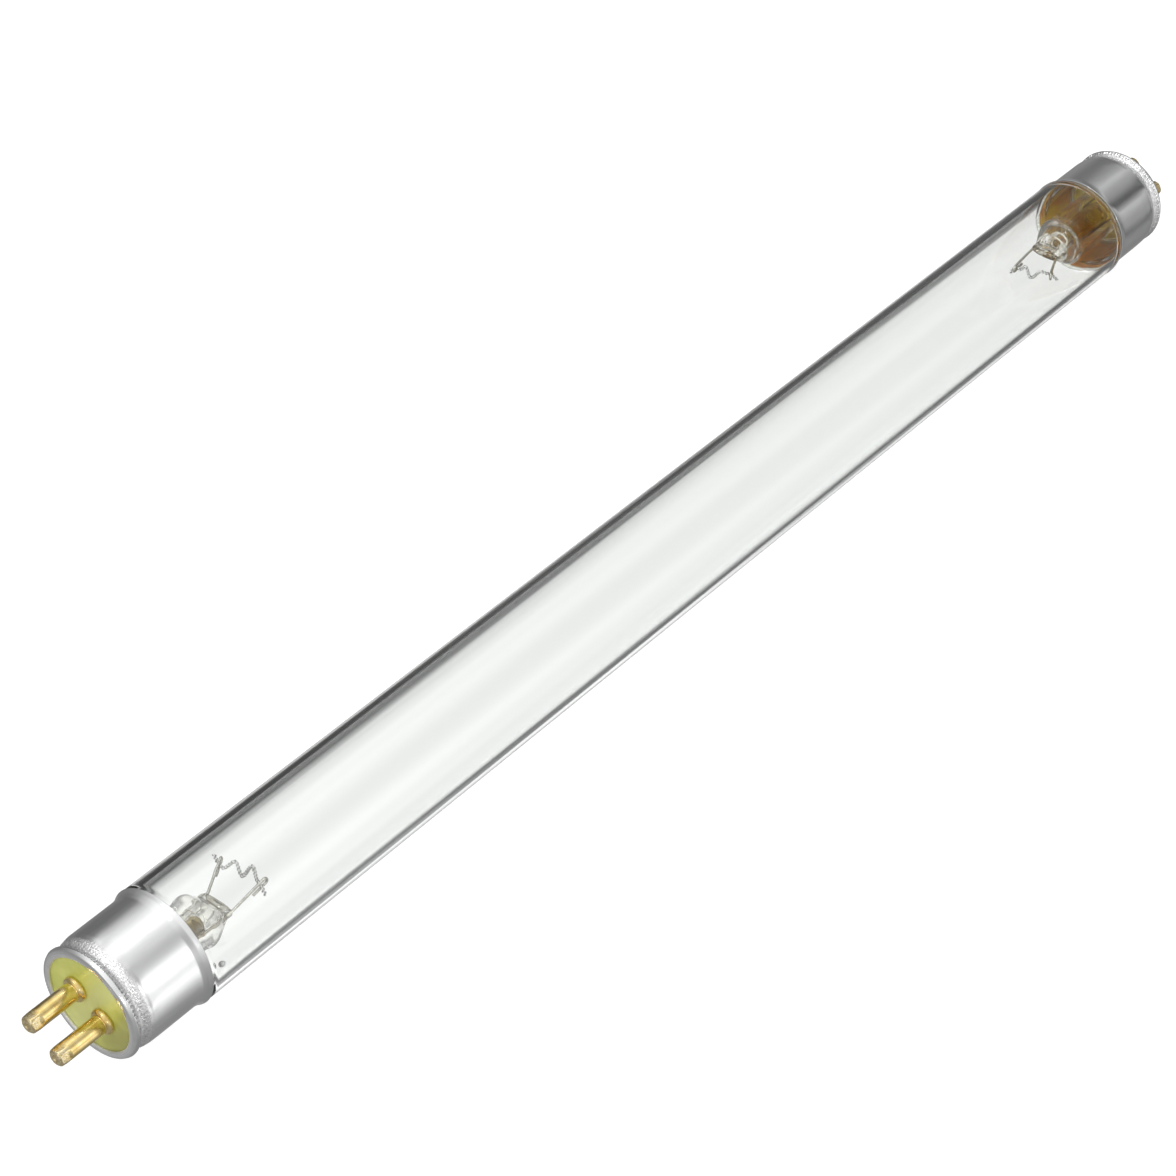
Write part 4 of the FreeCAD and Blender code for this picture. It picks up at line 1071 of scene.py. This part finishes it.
def build_world():
    world = bpy.data.worlds.new("studio")
    bpy.context.scene.world = world
    world.use_nodes = True
    tree = world.node_tree
    tree.nodes.clear()
    out = tree.nodes.new("ShaderNodeOutputWorld")
    coord = add(tree, "ShaderNodeTexCoord")
    direction = coord.outputs["Generated"]
    xyz = add(tree, "ShaderNodeSeparateXYZ", {"Vector": direction})
    x, y, z = xyz.outputs["X"], xyz.outputs["Y"], xyz.outputs["Z"]
    angle = math_node(tree, "ARCTAN2", z, y)
    level = math_node(tree, "MULTIPLY_ADD", angle, 1 / (2 * math.pi))
    level.node.inputs[2].default_value = 0.5

    mid = banded(tree, level, [(r[0], r[1]) for r in BANDS])
    near = banded(tree, level, [(r[0], r[2]) for r in BANDS])
    far = banded(tree, level, [(r[0], r[3]) for r in BANDS])
    front = banded(tree, level, FRONT)
    studio = mix_colour(tree, step(tree, x, -0.30, 0.02), front, mid)
    studio = mix_colour(tree, step(tree, x, 0.14, 0.38), studio, near)
    studio = mix_colour(tree, step(tree, x, 0.46, 0.73), studio, far)
    for d, r, power in SPOTS:
        d = Vector(d).normalized()
        facing = add(tree, "ShaderNodeVectorMath", {0: direction, 1: tuple(d)}, operation="DOT_PRODUCT").outputs["Value"]
        lit = step(tree, facing, math.cos(math.radians(r * 1.25)), math.cos(math.radians(r * 0.75)))
        lit = math_node(tree, "MULTIPLY", lit, power)
        studio = mix_colour(tree, 1.0, studio, lit, "ADD")

    # seen through the glass: the lit panel, with dark beyond its edges
    clear = banded(tree, level, [(-180, 0.8), (-150, 0.92), (-84, 0.97), (-30, 0.92), (0, 0.8), (180, 0.8)])
    panel = mix_colour(
        tree, step(tree, x, 0.46, 0.73), banded(tree, level, PANEL_NEAR), banded(tree, level, PANEL_FAR)
    )
    below = mix_colour(tree, step(tree, x, 0.33, 0.43), clear, panel)
    up = step(tree, z, -0.02, 0.12)
    upper = mix_colour(tree, step(tree, x, 0.46, 0.62), studio, mix_colour(tree, 1.0, studio, (0.42, 0.40, 0.34), "MULTIPLY"))
    through = mix_colour(tree, up, below, upper)
    # after the glass of a stem the surroundings are paler
    deep_near = banded(
        tree, level, [(-180, 0.70), (-140, 0.42), (-115, 0.25), (-106, 0.60), (-100, 0.95), (-84, 0.97), (-72, 0.95),
                      (-66, 0.60), (-55, 0.25), (-30, 0.42), (0, 0.70), (180, 0.70)]
    )
    deep_far = banded(tree, level, [(-180, 0.75), (-115, 0.80), (-100, 0.95), (-72, 0.95), (-55, 0.80), (0, 0.75), (180, 0.75)])
    deep = mix_colour(tree, step(tree, x, 0.50, 0.68), deep_near, deep_far)
    # after one bounce inside the tube
    once = banded(
        tree, level, [(-180, 0.45), (-140, 0.28), (-120, 0.16), (-110, 0.40), (-102, 0.95), (-84, 0.95), (-72, 0.95),
                      (-66, 0.25), (-56, 0.10), (-30, 0.16), (0, 0.40), (180, 0.45)]
    )
    once = mix_colour(tree, up, once, studio)
    deep = mix_colour(tree, step(tree, x, -0.15, 0.10), (0.85, 0.85, 0.82), deep)
    above = mix_colour(tree, step(tree, x, -0.40, 0.10), mix_colour(tree, 1.0, studio, (0.4, 0.4, 0.4), "ADD"), mix_colour(tree, 1.0, studio, (0.15, 0.14, 0.11), "ADD"))
    deep = mix_colour(tree, up, deep, above)
    # what lights the matt parts inside the caps
    lamp = mix_colour(tree, step(tree, x, -0.15, 0.10), (1.15, 1.15, 1.15), deep)
    over = mix_colour(tree, step(tree, x, -0.40, 0.10), mix_colour(tree, 1.0, studio, (0.75, 0.75, 0.75), "ADD"), studio)
    lamp = mix_colour(tree, up, lamp, over)
    path = add(tree, "ShaderNodeLightPath")
    many = math_node(tree, "GREATER_THAN", path.outputs["Transmission Depth"], 4.5)
    some = math_node(tree, "GREATER_THAN", path.outputs["Transmission Depth"], 3.5)
    bounced = math_node(tree, "GREATER_THAN", path.outputs["Glossy Depth"], 0.5)
    soft = math_node(tree, "GREATER_THAN", path.outputs["Diffuse Depth"], 0.5)
    through = mix_colour(tree, math_node(tree, "MULTIPLY", some, bounced), through, once)
    through = mix_colour(tree, many, through, deep)
    through = mix_colour(tree, soft, through, lamp)
    shown = mix_colour(tree, path.outputs["Is Transmission Ray"], studio, through)
    shown = mix_colour(tree, path.outputs["Is Camera Ray"], shown, (1.0, 1.0, 1.0))
    back = add(tree, "ShaderNodeBackground", {"Color": shown, "Strength": 1.0})
    tree.links.new(back.outputs["Background"], out.inputs["Surface"])


build_world()


def build_camera():
    data = bpy.data.cameras.new("camera")
    data.sensor_fit = "HORIZONTAL"
    data.sensor_width = 36.0
    data.lens = 36.0 * 3312.9 / 1176.0
    data.clip_start, data.clip_end = 0.01, 100.0
    cam = bpy.data.objects.new("camera", data)
    bpy.context.scene.collection.objects.link(cam)
    right = Vector((0.63466, -0.66112, 0.40015)).normalized()
    ahead = Vector((0.59392, 0.08599, -0.79991)).normalized()
    upward = right.cross(ahead).normalized()
    right = ahead.cross(upward).normalized()
    turn = Matrix((right, upward, -ahead)).transposed()
    cam.matrix_world = Matrix.Translation(Vector((-266.1, -33.7, 336.8)) * MM) @ turn.to_4x4()
    bpy.context.scene.camera = cam


build_camera()

view = bpy.context.scene.view_settings
view.view_transform = "Standard"
view.look = "None"
cycles = bpy.context.scene.cycles
cycles.blur_glossy = 0.0
cycles.diffuse_bounces = 4
cycles.max_bounces = 48
cycles.transmission_bounces = 40
cycles.glossy_bounces = 32
cycles.transparent_max_bounces = 16
